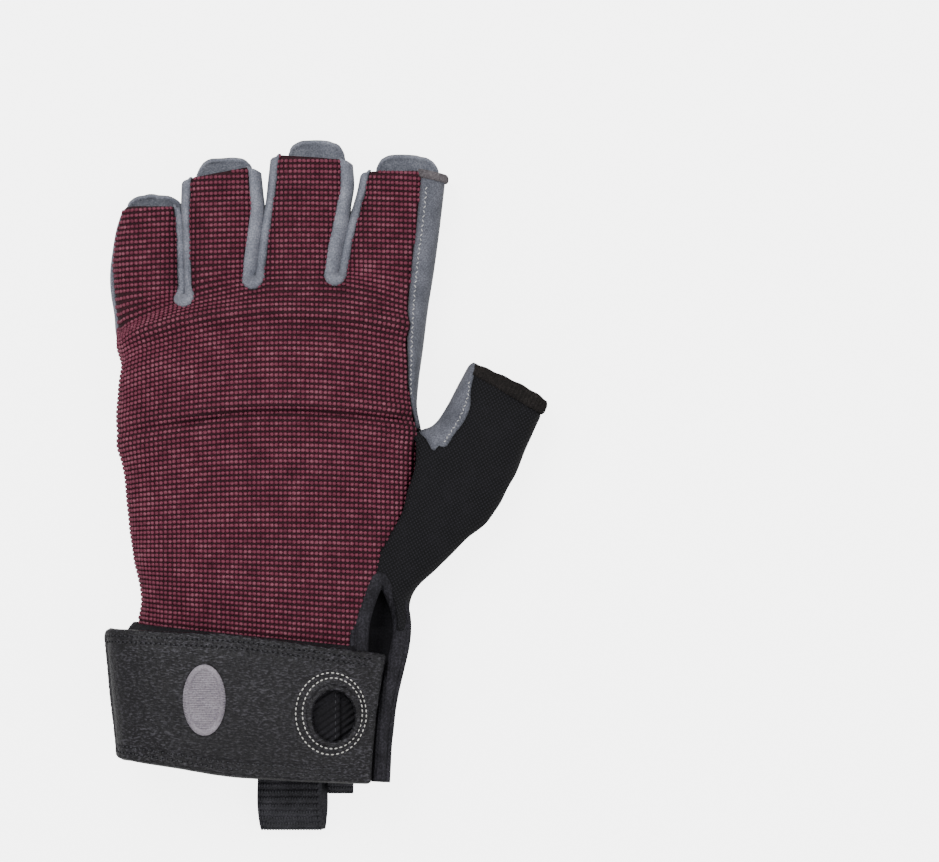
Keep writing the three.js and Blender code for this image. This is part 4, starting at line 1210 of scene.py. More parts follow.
knit_low = thumb_cloth(smooth_line(KNIT_SEAM, 0.8), False)
grey_top = grey_top[grey_top[:, 1] > 0]
knit_low = knit_low[knit_low[:, 1] > 0]
palm_seam = thumb_cloth(smooth_line(THUMB_SEAM, 0.8), False) - (RING_ALL, 0)
hand_seam = thumb_cloth(smooth_line(BACK_SEAM[8:] - (0.9, 0), 0.8), True)
vent_seam = thumb_cloth(smooth_line(VENT_RIGHT, 0.8), True)
crotch_corner = thumb_cloth(np.array([(1.02, 0.583)]) * (HALF_PALM, PALM_LENGTH), True)
cuff_under = thumb_cloth(
    np.column_stack([np.linspace(29, 40, 8), np.linspace(-2.6, -3.4, 8)]), False)
cuff_over = np.array([[RING_TOP + 1.5, 80.0], [RING_TOP - 1.5, 80.0]])


def open_at(line, back):
    """Where a seam is at one distance from the thumb's open end."""
    return np.array([np.interp(back, *line[np.argsort(line[:, 1])].T[::-1]), back])


knit_outline = np.vstack([
    [open_at(grey_top, HEM - 0.9)], [(RING_TOP, HEM - 0.9)], [open_at(knit_low, HEM - 0.9)],
    knit_low[knit_low[:, 1] > HEM + 0.5], cuff_under[1:], cuff_over, vent_seam[::-1],
    hand_seam[::-1][1:], grey_top[grey_top[:, 1] > HEM + 0.5]])
open_share = np.linspace(0, 1, 40)
open_round = open_at(grey_top, 0)[0] + open_share * (RING_TOP - open_at(grey_top, 0)[0])
open_back = -1.3 * np.sin(math.pi * open_share**1.3) + 0.12 * np.sin(34 * open_share)
hem_outline = np.vstack([
    np.column_stack([open_round, open_back]), [open_at(knit_low, 0)],
    [open_at(knit_low, HEM - 0.1)], [(RING_TOP, HEM - 0.1)], [open_at(grey_top, HEM - 0.1)]])
grey_outline = np.vstack([
    [open_at(grey_top, 0)], [(0, 0)], [open_at(knit_low, 0) - (RING_ALL, 0)],
    (knit_low - (RING_ALL, 0))[1:], palm_seam[::-1], crotch_corner, grey_top[:-1]])
print("thumb's cloth is", RING_ALL.round(1), "mm round")

# %% [markdown]
# ## Knit, hem and suede
# The knit lies in soft slow waves. The hem is a double layer whose ribs run out of the opening,
# so its net is finer than the others to hold them.

# %% The knit, its hem and the suede of the thumb


def knit_folds(flat, edge):
    """Slow waves, and edges that the thread pulls in."""
    return (0.5 * ripple(flat, 15, 1.3) + 0.25 * ripple(flat, 6, 4.9)
            - 0.7 * bump_along(edge, 0.8))


def hem_ribs(flat, edge):
    """Ribs 1.3 mm apart round the hem."""
    return 0.4 + 0.24 * np.cos(2 * math.pi * flat[:, 0] / 1.3) - 0.5 * bump_along(edge, 0.5)


knit_skin = lay_on(knit_outline, 1.1, thumb_place, knit_folds, flip=True)
piece("thumb_knit", knit_skin["points"], knit_skin["faces"], jersey,
      ["thumb_back"], WALL, plan=knit_skin["flat"])
hem_skin = lay_on(hem_outline, 0.38, thumb_place, hem_ribs, flip=True)
piece("thumb_knit_hem", hem_skin["points"], hem_skin["faces"], hem_jersey,
      ["thumb_hem"], WALL + 0.4, plan=hem_skin["flat"])
grey_skin = lay_on(grey_outline, 1.0, thumb_place, knit_folds, flip=True)
# The thumb's suede takes the darker copy, painted shade
piece("thumb_suede", grey_skin["points"], grey_skin["faces"], suede_painted_shade,
      ["thumb_palm"], WALL, lining)

# %% [markdown]
# ## The cuff
# The cuff is a band of wide elastic, sewn in a tube and open at the vent. Its lower edge leans
# back under the hand, because the glove was laid with its wrist bent a little.

# %% The cuff's form
CUFF_LENGTH = 42.0
BACK_DROP = 8.4
CUFF_END = 0.95 * CUFF_LENGTH
WEBBING_THICK = 1.4
# columns: down, left, right, height, lift, slope, lean
CUFF = np.array([
    (0.0, 0.82, 0.95, 0.9, 0.0, -0.09, 0.0), (0.05, 0.86, 0.945, 0.95, 1.0, -0.09, 0.0),
    (0.35, 0.875, 0.885, 1.0, 1.0, -0.085, 0.2), (0.7, 0.87, 0.85, 0.98, 1.0, -0.08, 0.6),
    (0.95, 0.865, 0.818, 0.94, 1.0, -0.08, 1.0)]) * (
    CUFF_LENGTH, -HALF_PALM, HALF_PALM, 27.0, WEBBING_THICK + 0.3, HALF_PALM, BACK_DROP)


def cuff_ring(down, angles, out=0.0):
    """Points round the cuff at one distance below the wrist."""
    left, right, top, lift, slope, lean = rows_at(CUFF, down)
    top, half = top + out, (right - left) / 2 + out
    middle = lift + WIDEST_SHARE * (top - lift)
    cosine, sine = np.cos(angles), np.sin(angles)
    upper = sine >= 0
    u = np.sign(cosine) * np.where(upper, np.abs(cosine) ** (2 / 3), np.abs(cosine) ** 0.5)
    z = np.where(upper, middle + (top - middle) * np.abs(sine) ** (2 / 3),
                 np.maximum(lift, middle - (middle - lift + 2) * np.abs(sine) ** 0.5))
    y = -down + slope * u + lean - lean * (z - lift) / (top - lift)
    return np.column_stack([(left + right) / 2 + half * u, y, z])


def cuff_angle(down, x):
    """The angle round the cuff's ring of a place across its top."""
    left, right = rows_at(CUFF, down)[:2]
    u = np.clip(across_share(x, left, right), -1, 1)
    return math.acos(np.sign(u) * abs(u) ** 1.5)


# columns: y, x of the vent's left edge, x of its right edge
VENT = np.array([(3, 28.3, 39.6), (0, 28.2, 39.7), (-4, 28.2, 39.0), (-10, 28.4, 37.8),
                 (-17, 28.5, 36.2), (-28, 28.6, 34.8), (-44, 28.8, 33.9)])[::-1]
print("the cuff's vent is", round(VENT[-1, 2] - VENT[-1, 1], 1), "mm wide at the wrist")

# %% [markdown]
# ## The elastic band
# The band is a stack of open rings, each from the vent's right edge round under the wrist to its
# left edge, with the same number of points evenly along it.

# %% The elastic band
band = []
for down in np.linspace(0.9, CUFF_END, 34):
    left, right = (np.interp(-down, VENT[:, 0], VENT[:, k]) for k in (1, 2))
    angles = np.linspace(cuff_angle(down, right), cuff_angle(down, left) - 2 * math.pi, 900)
    ring = cuff_ring(down, angles)
    far = lengths_along(ring)
    band.append(read_at(ring, far, np.linspace(0, far[-1], 150)))
grid_piece("elastic_cuff", np.array(band), elastic, ["cuff_band"], 1.5, flip=True)

# %% [markdown]
# ## The vent's bound edge
# A strip of jersey is folded over the raw edge of the vent. It is a soft roll that climbs from
# the cuff to the vent's top and down the other side.

# %% The binding
BINDING = np.array([
    (0.655, -1.0), (0.65, -0.6), (0.645, -0.25), (0.64, -0.03), (0.65, 0.035), (0.68, 0.085),
    (0.72, 0.13), (0.768, 0.163), (0.82, 0.14), (0.865, 0.1), (0.898, 0.055), (0.905, 0.005),
    (0.895, -0.08), (0.865, -0.22), (0.825, -0.4), (0.79, -0.66), (0.77, -1.0)])
BINDING = np.array([
    (x * HALF_PALM, y * (PALM_LENGTH if y > 0 else CUFF_LENGTH)) for x, y in BINDING])


def cuff_top(x, y):
    """Height of the cuff's top, at places in the plan."""
    down = -np.array(y, float)
    for _ in range(8):
        left, right, top, lift, slope, _ = rows_at(CUFF, down)
        u = across_share(x, left, right)
        down = (down - y + slope * np.clip(u, -1, 1)) / 2
    return mound(u, top, lift)


def wrist_top(x, y):
    """Height of the top at the wrist: the hand's above the seam, the cuff's below it."""
    hand = top_height(x, np.maximum(y, 0))
    return np.where(np.asarray(y) > 1, hand, np.maximum(cuff_top(x, y), 8))


def roll(line, radii, sides):
    """A tube round a line of points, wider across than it is high."""
    ways = unit(np.gradient(line, axis=0))
    across = unit(np.cross(ways, (0, 0, 1)))
    up = np.cross(across, ways)
    turns = np.linspace(0, 2 * math.pi, sides, endpoint=False)
    return np.array([
        [p + radii[0] * math.cos(t) * a + radii[1] * math.sin(t) * n for t in turns]
        for p, a, n in zip(line, across, up)])


def capped(name, grid, material, nodes=()):
    """A closed tube: its rings and a fan of faces at both ends."""
    rows, columns = grid.shape[:2]
    points = np.vstack([grid.reshape(-1, 3), grid[0].mean(0), grid[-1].mean(0)])
    faces = grid_faces(rows, columns, True)
    first, last = rows * columns, rows * columns + 1
    faces += [((c + 1) % columns, c, first) for c in range(columns)]
    start = (rows - 1) * columns
    faces += [(start + c, start + (c + 1) % columns, last) for c in range(columns)]
    piece(name, points, faces, material, nodes)


flat_line = smooth_line(BINDING, 0.9)
level = np.maximum(flat_line[:, 1], -0.92 * CUFF_LENGTH)
far = lengths_along(flat_line)
raise_start = far[np.argmax(flat_line[:, 1])] + 17
raised_by = 2.2 * np.clip((far - raise_start) / 12, 0, 1)
binding_line = np.column_stack([flat_line, wrist_top(flat_line[:, 0], level) - 0.7 + raised_by])
for _ in range(4):
    binding_line[1:-1, 2] = (binding_line[:-2, 2] + binding_line[1:-1, 2] * 2
                             + binding_line[2:, 2]) / 4
inward = unit(np.cross(np.gradient(binding_line, axis=0), (0, 0, 1)))
capped("vent_roll", roll(binding_line + 0.4 * inward, (2.1, 2.1), 20), binding_jersey,
       ["vent_binding"])
capped("vent_piping", roll(binding_line - 1.9 * inward - (0, 0, 0.5), (1.0, 1.0), 12),
       binding_jersey)

# %% [markdown]
# ## The palm's edge
# From above, a thin line of the palm's suede shows beside the little finger, where the palm
# curls up past the back. It is a slim roll along that side.

# %% The palm's edge that shows beside the little finger
edge_y = np.linspace(80, 121, 60)
edge_out = np.interp(edge_y, (80, 88, 96, 108, 121), (-0.2, 0.45, 0.5, 0.3, 0.3))
edge_line = np.column_stack([left_side(edge_y) + 0.4 - edge_out, edge_y, np.full(60, 5.6)])
# The edge takes the suede's lighter copy, painted light
capped("palm_edge", roll(edge_line, (0.8, 1.2), 10), suede_painted_lit)

# %% [markdown]
# ## The gusset
# Behind the vent's opening lies a soft fold of thin lining, sunk below the roll and sewn to it on
# both sides.

# %% The gusset in the vent
apex = int(np.argmax(BINDING[:, 1]))
gusset = []
for y in np.linspace(-40, 15.0, 48):
    left = np.interp(y, BINDING[:apex + 1, 1], BINDING[:apex + 1, 0])
    right = np.interp(y, BINDING[apex:, 1][::-1], BINDING[apex:, 0][::-1])
    t = np.linspace(0, 1, 22)
    x = left + (right - left) * t
    z = wrist_top(x, np.full(22, max(y, -0.92 * CUFF_LENGTH))) - 1.6
    sag = np.sin(math.pi * t)
    z = z - 5.0 * sag**0.7 + 0.9 * np.sin(3 * math.pi * t + 0.08 * y) * sag
    gusset.append(np.column_stack([x, np.full(22, y), z]))
grid_piece("vent_gusset", np.array(gusset), lining, (), 0.5)

# %% [markdown]
# ## The leather strap
# The closing strap lies over the cuff and turns down at its free end. It has a raised rolled
# edge, two rows of stitches inside it and a round hole for a clip.

# %% The strap's form
STRAP_OUT = 3.6
STRAP_LEFT = np.array([(-4.2, 0.968), (4.2, 0.966), (14.7, 0.942), (29.4, 0.905), (42.0, 0.89)])


def strap_side(y):
    """The strap's free end turns down here, left of the cuff."""
    down = -np.asarray(y, float)
    return -HALF_PALM * through(STRAP_LEFT[:, 0], STRAP_LEFT[:, 1], down) - 2.0


def strap_top(x, y):
    """Height of the strap over the cuff."""
    down = -np.array(y, float)
    for _ in range(8):
        _, right, top, lift, slope, _ = rows_at(CUFF, np.clip(down, 0, CUFF_END))
        u = across_share(x, strap_side(-down), right + STRAP_OUT)
        down = (down - y + slope * np.clip(u, -1, 1)) / 2
    return mound(u, top + STRAP_OUT, lift)


STRAP_END_HEIGHT = 13.0
strap_table = turn_table(strap_top, strap_side, STRAP_END_HEIGHT, -48, 6)
strap_place = turned_place(strap_top, strap_side, strap_table)
STRAP_UPPER = np.array([(36.2, -5.0), (13.2, -1.9), (-5.3, 0.5), (-23.8, 1.5), (-42.2, 2.1)])
STRAP_LOWER = np.array([(-38.3, -36.1), (-23.6, -38.0), (-8.8, -40.2), (4.0, -41.1),
                        (31.9, -42.6)])
STRAP_SEWN = np.array([(31.9, -42.6), (32.7, -30.0), (33.5, -21.8), (34.6, -15.0), (36.2, -5.0)])
upper_end = float(turn_edge(strap_side, strap_table, 1.76))
lower_end = float(turn_edge(strap_side, strap_table, -36.1))


def rounded(corner, before, after, radius):
    """A polyline's corner as a soft curve."""
    a = corner + radius * (before - corner) / np.linalg.norm(before - corner)
    b = corner + radius * (after - corner) / np.linalg.norm(after - corner)
    t = np.linspace(0, 1, 9)[:, None]
    return (1 - t) ** 2 * a + 2 * t * (1 - t) * corner + t**2 * b


corner_high, corner_low = np.array([upper_end, 1.6]), np.array([lower_end, -35.6])
right_high, right_low = STRAP_UPPER[0], STRAP_LOWER[-1]
strap_outline = np.vstack([
    smooth_line(STRAP_SEWN, 1)[3:-3],
    rounded(right_high, right_low, STRAP_UPPER[1], 1.5), smooth_line(STRAP_UPPER, 1)[3:],
    rounded(corner_high, STRAP_UPPER[-1], corner_low, 6),
    rounded(corner_low, corner_high, STRAP_LOWER[0], 6),
    smooth_line(STRAP_LOWER, 1)[:-3], rounded(right_low, STRAP_LOWER[-2], right_high, 1.5)])
HOLE = np.array([0.476 * HALF_PALM, -0.545 * CUFF_LENGTH])
HOLE_STRETCH = np.array([1.0, 1.17])
HOLE_RADIUS = 7.3


def round_hole(flat):
    """Distance from the hole's middle, measured so that its oval counts as a circle."""
    return np.linalg.norm((flat - HOLE) / HOLE_STRETCH, axis=1)


# %% [markdown]
# ## The strap's leather
# The leather has a raised rolled edge and two sunken channels for its stitches, and it bulges
# between them. The triangles inside the clip hole are left out of the net.

# %% Leather laid over the cuff
LEATHER = 2.0
EDGE_ROLL = 1.3


def strap_relief(flat, edge):
    """A rolled edge, a sunken channel for the stitches and the slow waves of bent leather."""
    from_hole = round_hole(flat) - HOLE_RADIUS
    return (
        0.5 * bump_along(edge - EDGE_ROLL, 0.9) - 1.2 * bump_along(edge, 0.55)
        - 0.4 * bump_along(edge - 2.4, 0.5) - 0.4 * bump_along(edge - 4.1, 0.5)
        + 0.2 * bump_along(edge - 3.25, 0.4) + 0.25 * ripple(flat, 13, 6.1)
        + 0.12 * ripple(flat, 4, 2.7) - 0.3 * bump_along(from_hole - 2.2, 0.7)
        + 0.3 * bump_along(from_hole - 1.0, 0.8)
    )


strap_skin = lay_on(strap_outline, 0.85, strap_place, strap_relief)
if strap_skin["normals"][:, 2].mean() < 0:
    raise RuntimeError("the strap is inside out")
centres = strap_skin["flat"][strap_skin["faces"]].mean(axis=1)
solid_faces = strap_skin["faces"][round_hole(centres) > HOLE_RADIUS - 0.4]
piece("leather_strap", strap_skin["points"], solid_faces, leather,
      ["wrist_strap"], LEATHER, lining)

# %% [markdown]
# ## The clip hole's rim
# The hole's edge is turned over into a small roll. Its ring follows the leather's own height and
# slope round the hole.

# %% The hole's rim
RIM_STEPS, RIM_ROUND = 72, 12
turns = np.linspace(0, 2 * math.pi, RIM_STEPS, endpoint=False)
rim_flat = HOLE + 6.95 * HOLE_STRETCH * np.column_stack([np.cos(turns), np.sin(turns)])
rim_middle, rim_up = on_skin(strap_skin, rim_flat, -0.45)
rim_out = np.column_stack([np.cos(turns), np.sin(turns), np.zeros(RIM_STEPS)])
rim_out -= (rim_out * rim_up).sum(1)[:, None] * rim_up
rim_grid = np.array([
    rim_middle + 1.0 * math.cos(t) * rim_out + 1.25 * math.sin(t) * rim_up
    for t in np.linspace(0, 2 * math.pi, RIM_ROUND + 1)[:-1]])
last_ring = (RIM_ROUND - 1) * RIM_STEPS
rim_faces = grid_faces(RIM_ROUND, RIM_STEPS, True) + [
    (last_ring + c, last_ring + (c + 1) % RIM_STEPS, (c + 1) % RIM_STEPS, c)
    for c in range(RIM_STEPS)]
piece("clip_hole_rim", rim_grid.reshape(-1, 3), [f[::-1] for f in rim_faces], leather,
      ["eyelet_rim"])

# %% [markdown]
# ## Pull tabs
# Inside each finger's end the suede runs on as a rounded tongue, for pulling the glove off. It is
# a small cupped leaf that rises a little toward its free end.

# %% The four tabs
TABS = {
    "little": ((127, 214), (127.5, 206), (133, 199.5), (142, 197), (160, 196.6), (171, 198.6),
               (178, 204), (179.6, 214)),
    "ring": ((196, 186), (196.6, 177), (200, 168), (206, 162), (220, 159.6), (236, 159), (245, 162),
             (249.6, 169), (250, 179)),
    "middle": ((289, 166), (289.5, 154), (293, 146.5), (300, 142.6), (310, 141.4), (328, 142.6),
               (338, 147), (342.5, 156), (343, 168)),
    "index": ((377, 178), (378, 168), (382, 160.5), (388, 157.2), (400, 155.6), (416, 157),
              (430, 161.5), (436, 168), (437, 179)),
}
TAB_LENGTH = 13.6


def tab_place(flat):
    """A leaf that lies inside the finger and rises a little toward its free end."""
    share = np.clip((flat[:, 1] - flat[:, 1].min()) / TAB_LENGTH, 0, 1)
    return np.column_stack([flat, 3.1 + 3.0 * share**2])


def tab_folds(flat, edge):
    """Small waves, and a rounded edge."""
    return 0.15 * ripple(flat, 5, 4.4) - 0.4 * bump_along(edge, 0.35)


for name, pixels in TABS.items():
    tip = smooth_line(from_photo(*pixels), 0.5)
    root_y = tip[:, 1].max() - TAB_LENGTH
    outline = np.vstack([tip, [(tip[-1, 0] - 1.2, root_y)], [(tip[0, 0] + 1.2, root_y)]])
    leaf = lay_on(outline, 0.7, tab_place, tab_folds, flip=True)
    leaf_sign = 1 if leaf["normals"][:, 2].mean() > 0 else -1
    # The tabs take the suede's lighter copy, painted light
    piece(f"pull_tab_{name}", leaf["points"], leaf["faces"][:, ::leaf_sign], suede_painted_lit,
          [f"finger_tab_{name}"], 1.1)

# %% [markdown]
# ## Webbing
# A ribbed nylon webbing is sewn down the palm side of the cuff. It runs past the cuff's edge,
# turns back in a loop to pull the strap tight, and ends inside. Two short loops hang beside it.

# %% Ribbons that fold back in a loop


def cuff_edge_under(x):
    """Where the cuff's lower edge is on the palm side."""
    left, right, _, _, slope, _ = rows_at(CUFF, CUFF_END)
    return -CUFF_END + BACK_DROP + slope * (x - (left + right) / 2) / ((right - left) / 2)


def loop_line(x, top_y, reach, thick, bulge, tuck):
    """The middle line of a looped ribbon, as (y, z) from its sewn end to its tucked end."""
    edge = float(cuff_edge_under(x))
    low = WEBBING_THICK - thick / 2
    inside = WEBBING_THICK + 0.3 + 1.8 + 0.3 + thick / 2
    return smooth_line([
        (top_y, low), ((top_y + edge) / 2, low), (edge, low), (edge - reach * 0.45, low),
        (edge - reach * 0.8, low + thick * 0.15), (edge - reach, (bulge + low) * 0.45),
        (edge - reach * 0.78, bulge), (edge - reach * 0.4, bulge),
        (edge - reach * 0.08, inside + 0.35), (edge + tuck * 0.4, inside),
        (edge + tuck, inside)], 0.4)


def ribbon(name, line, middle, wide, thick, rib, nodes, lean=0.0):
    """A ribbed band along a line. Its upper layer may lie aside of the lower one by lean."""
    way = unit(np.gradient(line, axis=0))
    normal = np.column_stack([-way[:, 1], way[:, 0]])
    far = lengths_along(line)
    bulge = thick / 2 - 0.3 + 0.1 * np.abs(np.sin(math.pi * far / rib)) ** 0.6
    level = np.clip(line[:, 1] / line[:, 1].max(), 0, 1)
    middles = middle + lean * (1 - 2 * level)
    grid = []
    for (y, z), (ny, nz), out, centre in zip(line, normal, bulge, middles):
        across = np.r_[np.linspace(-1, 1, 9), np.linspace(1, -1, 9)]
        side = np.r_[np.ones(9), -np.ones(9)]
        soft = np.where(np.abs(across) > 0.99, 0.35, 1.0)
        grid.append(np.column_stack([
            centre + wide / 2 * across, y + side * soft * out * ny,
            np.maximum(z + side * soft * out * nz, 0.0)]))
    columns = np.arange(-wide / 2 + 0.5, wide / 2 - 0.3, 0.8)
    at = np.arange(rib / 2, far[-1], rib)
    tops = [np.interp(at, far, c) for c in (*line.T, *normal.T, *way.T, middles)]
    beads, ups, ways = [], [], []
    bead_out = thick / 2 - 0.22
    for y, z, ny, nz, wy, wz, centre in zip(*tops):
        for x in columns:
            beads.append((centre + x, y + bead_out * ny, max(z + bead_out * nz, 0.2)))
            ups.append((0, ny, nz))
            ways.append((0, wy, wz))
    lay_threads(f"{name}_ribs", beads, ways, ups, (rib * 0.86, 0.86, 0.62), webbing_nylon)
    capped(name, np.array(grid), webbing_nylon, nodes)


pull_line = loop_line(WEBBING_MIDDLE, -4.2, 24.0, 1.4, 7.6, 6.0)
ribbon("webbing_pull", pull_line, WEBBING_MIDDLE, 18.4, 1.4, 1.9, ["pull_webbing"], 0.9)
for side, middle, wide, reach in (("left", -8.36, 8.0, 9.0), ("right", 22.26, 7.4, 12.6)):
    line = loop_line(middle, float(cuff_edge_under(middle)) + 5, reach, 0.9, 4.25, 4.0)
    ribbon(f"short_loop_{side}", line, middle, wide, 0.9, 1.5, [f"small_loop_{side}"])

# %% [markdown]
# ## Stitches
# Lockstitch rows show as even short bars with a gap between them. Each row is a line in the plan
# of one piece, found again on its laid skin, so a stitch lies on the cloth wherever it bends.

# %% Rows of stitches on the strap


def inset(outline, depth, spacing=0.7):
    """A closed outline moved inward, without the points that a corner folds over."""
    edge = spaced(closed_line(outline), spacing)[:-1]
    way = unit(np.roll(edge, -1, axis=0) - np.roll(edge, 1, axis=0))
    turned = np.sum(edge[:, 0] * np.roll(edge[:, 1], -1) - np.roll(edge[:, 0], -1) * edge[:, 1])
    moved = edge + math.copysign(depth, turned) * np.column_stack([-way[:, 1], way[:, 0]])
    return moved[distance_to(moved, edge) > depth - 0.1]


STRAP_STITCH = 1.45
strap_rows = []
for depth in (2.4, 4.1):
    row = inset(strap_outline, depth)
    sewn = np.interp(row[:, 1], STRAP_SEWN[:, 1], STRAP_SEWN[:, 0])
    start = int(np.argmin(np.linalg.norm(row - (sewn.max(), -24), axis=1)))
    row = np.roll(row, -start, axis=0)
    row = row[row[:, 0] < np.interp(row[:, 1], STRAP_SEWN[:, 1], STRAP_SEWN[:, 0]) - depth - 0.3]
    strap_rows.append(on_skin(strap_skin, row, 0.08))
sew("strap_stitches", strap_rows, STRAP_STITCH, (0.85, 0.5, 0.45), black_thread)
# Dark beads of lining between the stitches: painted shade in the stitch holes
hole_shade_rows = [(points[1:] + 0.02 * ups[1:], ups[1:]) for points, ups in strap_rows]
sew("strap_stitch_hole_shade", hole_shade_rows, STRAP_STITCH, (0.55, 0.62, 0.3), lining)

# %% [markdown]
# ## Rings of stitches
# Two rings in a heavier white thread hold the layers together round the clip hole.

# %% White rings of stitches round the hole
ring_turns = np.linspace(0, 2 * math.pi, 181)
rings = [on_skin(strap_skin, HOLE + shift + np.column_stack([
    a * np.cos(ring_turns), b * np.sin(ring_turns)]), 0.1)
    for shift, a, b in (((-0.4, 0.8), 8.4, 10.0), ((-0.8, 0.7), 9.95, 11.6))]
sew("ring_stitches", rings, 1.44, (1.05, 0.42, 0.36), white_thread)

# %% [markdown]
# ## Inside the clip hole
# Through the hole one sees the ribbed elastic behind the leather, with one row of stitches.

# %% The layer seen through the hole
facing_x, facing_y = np.meshgrid(np.linspace(11, 22.6, 20), np.linspace(-34, -12, 30))
facing = np.stack([facing_x, facing_y, strap_top(facing_x.ravel(), facing_y.ravel())
                   .reshape(facing_x.shape) - LEATHER - 0.5], axis=-1)
grid_piece("hole_facing", facing, elastic, (), 0.6)
facing_row = facing[:, -3] + (0, 0, 0.05)
sew("facing_stitches", [(facing_row, np.tile((0.0, 0.0, 1.0), (len(facing_row), 1)))], 2.0,
    (1.4, 0.4, 0.3), black_thread)

# %% [markdown]
# ## Embroidery
# The strap carries a plain upright oval in satin stitch. Long threads lie side by side, each row
# broken at staggered places as a machine does it, and a border of short threads rings them.

# %% The satin oval
OVAL = np.array([-15.6, -18.3])
OVAL_HALF = np.array([6.0, 10.0])
THREAD_PITCH = 0.5
fill, fill_long = [], []
for k, y in enumerate(np.arange(-OVAL_HALF[1] + 1.2, OVAL_HALF[1] - 1.1, THREAD_PITCH)):
    half = (OVAL_HALF[0] - 0.9) * math.sqrt(max(0, 1 - (y / (OVAL_HALF[1] - 0.9)) ** 2))
    cuts = np.arange(-9 + 1.37 * (k % 3), 9, 4.1)
    cuts = np.r_[-half, cuts[(cuts > -half + 0.8) & (cuts < half - 0.8)], half]
    for a, b in zip(cuts, cuts[1:]):
        fill.append(((a + b) / 2, y))
        fill_long.append(b - a)


def along_skin(skin, places, step):
    """How the skin runs from one side of a place to the other."""
    return on_skin(skin, places + step)[0] - on_skin(skin, places - step)[0]


inner = OVAL + np.array(fill)
spots, ups = on_skin(strap_skin, inner, 0.16)
ways = along_skin(strap_skin, inner, np.array((0.5, 0)))
lay_threads("oval_fill", spots, ways, ups, (1.05, 0.52, 0.6), satin_thread,
            BARS, fill_long)
border_turns = np.linspace(0, 2 * math.pi, 130, endpoint=False)
round_oval = np.column_stack([np.cos(border_turns), np.sin(border_turns)])
border = OVAL + (OVAL_HALF - 0.75) * round_oval
spots, ups = on_skin(strap_skin, border, 0.3)
ways = along_skin(strap_skin, border, 0.4 * round_oval)
lay_threads("oval_border", spots, ways, ups, (1.6, 0.4, 0.6), satin_thread, BARS)

# %% [markdown]
# ## Stitches on the suede
# The suede is sewn with a pale thread: a zigzag where it meets the back panel and at the thumb's
# root, and plain rows on the palm. The palm picture shows the other hand, whose places are
# shifted over to this one.

# %% Zigzags beside the index finger and at the thumb


def along_grid(grid, column, lift):
    """A line down one column of a grid, with the grid's upright beside it."""
    line = grid[:, column]
    up = unit(np.cross(grid[:, column + 1] - grid[:, column - 1], np.gradient(line, axis=0)))
    up *= np.sign(up[:, 2].mean())
    return line + lift * up, up


sew("index_zigzag", [along_grid(side_grid[5:78], 2, 0.12)], 1.35, (1.15, 0.36, 0.34), pale_thread,
    0.75)
thumb_zigzag = thumb_cloth(smooth_line(from_photo(
    (469, 381), (467.5, 396), (462.5, 412), (452, 431), (444, 443)), 0.4), True)
sew("thumb_zigzag", [on_skin(grey_skin, thumb_zigzag, 0.1)], 1.2, (1.05, 0.32, 0.3), pale_thread,
    0.75)

# %% [markdown]
# ## Rows on the palm
# The palm's double rows frame the heel of the hand, and a short arc crosses each finger's root.

# %% Rows on the palm
PALM_STITCH = 2.4
PALM_THREAD = (1.8, 0.4, 0.3)


def from_palm(*pixels):
    """Places read off the palm picture of the other hand, as plan millimetres of this one.
    That picture lies 362 pixels to the right, 72 higher, and leans a little."""
    x, y = np.array(pixels, float).T
    return from_photo(*np.column_stack([x - 362 + 0.115 * (y - 213),
                                        y + 72 + 0.16 * np.maximum(x - 620, 0)]))


PALM_ROWS = [
    ((680, 264), (600, 264), (537, 265.6), (514, 279), (508.5, 312), (506, 367)),
    ((658, 302), (600, 302), (551, 305), (544, 320), (537, 367), (537, 392), (545, 396), (592, 395),
     (640, 392), (688, 390), (704.6, 392), (703, 400), (674, 427), (630.5, 477), (608.6, 483),
     (565, 480), (521, 471)),
    ((674, 327), (640, 337), (608.6, 346.5), (581, 360), (573, 364), (619.5, 366), (674, 360),
     (713, 357.5)),
]
FINGER_ARCS = [((497.5, 226), (512, 210), (528.5, 231)), ((562, 228), (586, 191), (606.5, 216)),
               ((634, 207), (659, 179), (680, 202)), ((681, 209), (696, 223), (735, 232))]
palm_rows = [on_skin(palm_skin, smooth_line(from_palm(*row), 0.8), 0.06)
             for row in PALM_ROWS + FINGER_ARCS]
patch_row = inset(patch_outline, 1.6)
sew("palm_stitches", palm_rows, PALM_STITCH, PALM_THREAD, grey_thread)
sew("patch_stitches", [on_skin(patch_skin, closed_line(patch_row), 0.06)], PALM_STITCH,
    PALM_THREAD, grey_thread)

# %% [markdown]
# ## Finger ends
# Under each finger's end the suede is hemmed with two zigzags.

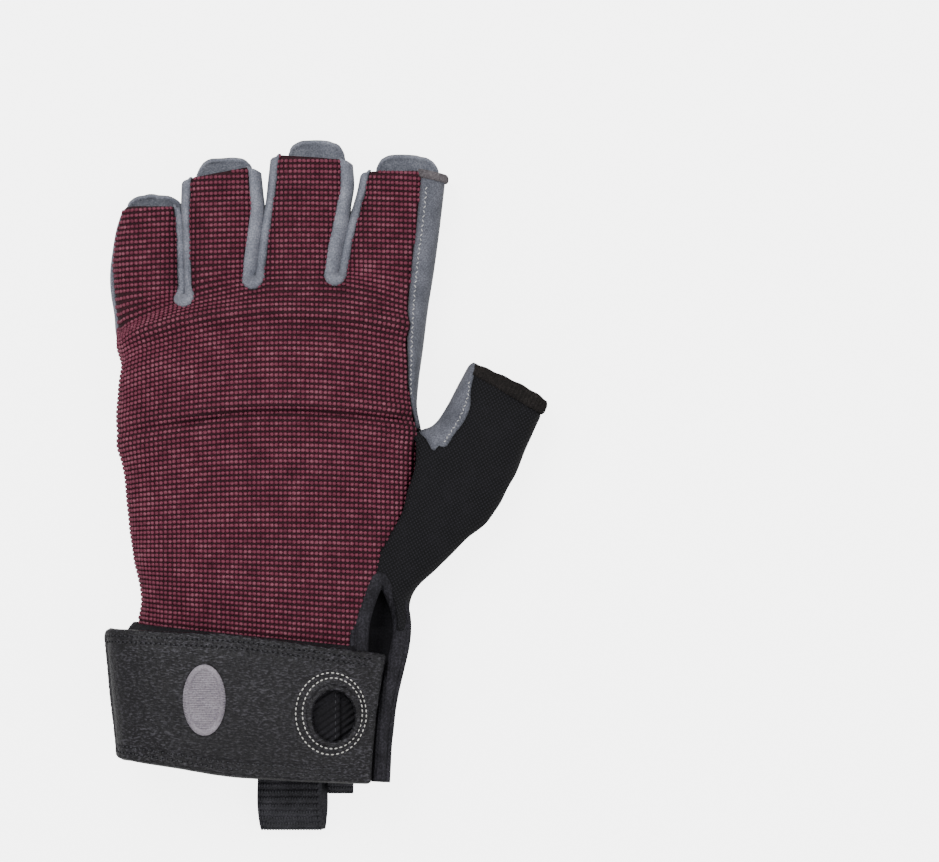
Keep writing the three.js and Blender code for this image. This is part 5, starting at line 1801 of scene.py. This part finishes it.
# %% Double zigzags at the finger ends
end_rows = []
for name, (reach, slope, rows) in FINGERS.items():
    left, right = rows[-1][1] * HALF_PALM + 2.5, rows[-1][2] * HALF_PALM - 2.5
    for back in (2.2, 4.6):
        y = PALM_LENGTH + reach - END_LEAN - back
        row = np.column_stack([np.linspace(left, right, 24), np.full(24, y)])
        end_rows.append(on_skin(palm_skin, row, 0.06))
sew("finger_end_zigzags", end_rows, 1.1, (1.3, 0.34, 0.28), white_thread, 0.75)

# %% [markdown]
# ## Floor and light
# The gloves were photographed on a bright sweep with hardly any shadow. A pale floor that glows a
# little, a bright sky and two wide soft lights give the same even, frontal light.

# %% Floor
SPREAD = 3.0
floor_mesh = bpy.data.meshes.new("floor")
floor_mesh.from_pydata([(-SPREAD, -SPREAD, 0), (SPREAD, -SPREAD, 0), (SPREAD, SPREAD, 0),
                        (-SPREAD, SPREAD, 0)], [], [(0, 1, 2, 3)])
floor = new_object("floor", floor_mesh)
paper = bpy.data.materials.new("white_paper_sweep")
paper.use_nodes = True
paper_shader = paper.node_tree.nodes["Principled BSDF"]
for socket, value in (("Base Color", colour("#F2F2F2")), ("Roughness", 0.9),
                      ("Specular IOR Level", 0.1), ("Emission Color", (1, 1, 1, 1)),
                      ("Emission Strength", 4.5)):
    paper_shader.inputs[socket].default_value = value
floor_mesh.materials.append(paper)
# The paper glows so that it stays pale, and that glow isn't meant to light the glove's sides
floor.visible_diffuse = False
floor.visible_glossy = False

# %% [markdown]
# ## Light
# The sky gives the even base, a wide key light from above the fingers shapes the folds, and a
# weaker one on the thumb's side fills its shade.

# %% Light
world = bpy.data.worlds.new("studio")
world.use_nodes = True
world.node_tree.nodes["Background"].inputs["Color"].default_value = (1, 1, 1, 1)
world.node_tree.nodes["Background"].inputs["Strength"].default_value = 0.75
scene.world = world


def soft_light(name, place, target, size, power):
    lamp = bpy.data.lights.new(name, "AREA")
    lamp.shape = "DISK"
    lamp.size = size
    lamp.energy = power
    made = new_object(name, lamp)
    made.location = place
    made.rotation_mode = "QUATERNION"
    made.rotation_quaternion = (Vector(target) - Vector(place)).to_track_quat("-Z", "Y")


soft_light("key_light", (-0.5, 0.7, 1.3), (0, 0, 0), 0.9, 14)
soft_light("fill_light", (0.8, -0.4, 1.2), (0, 0, 0), 0.9, 5)
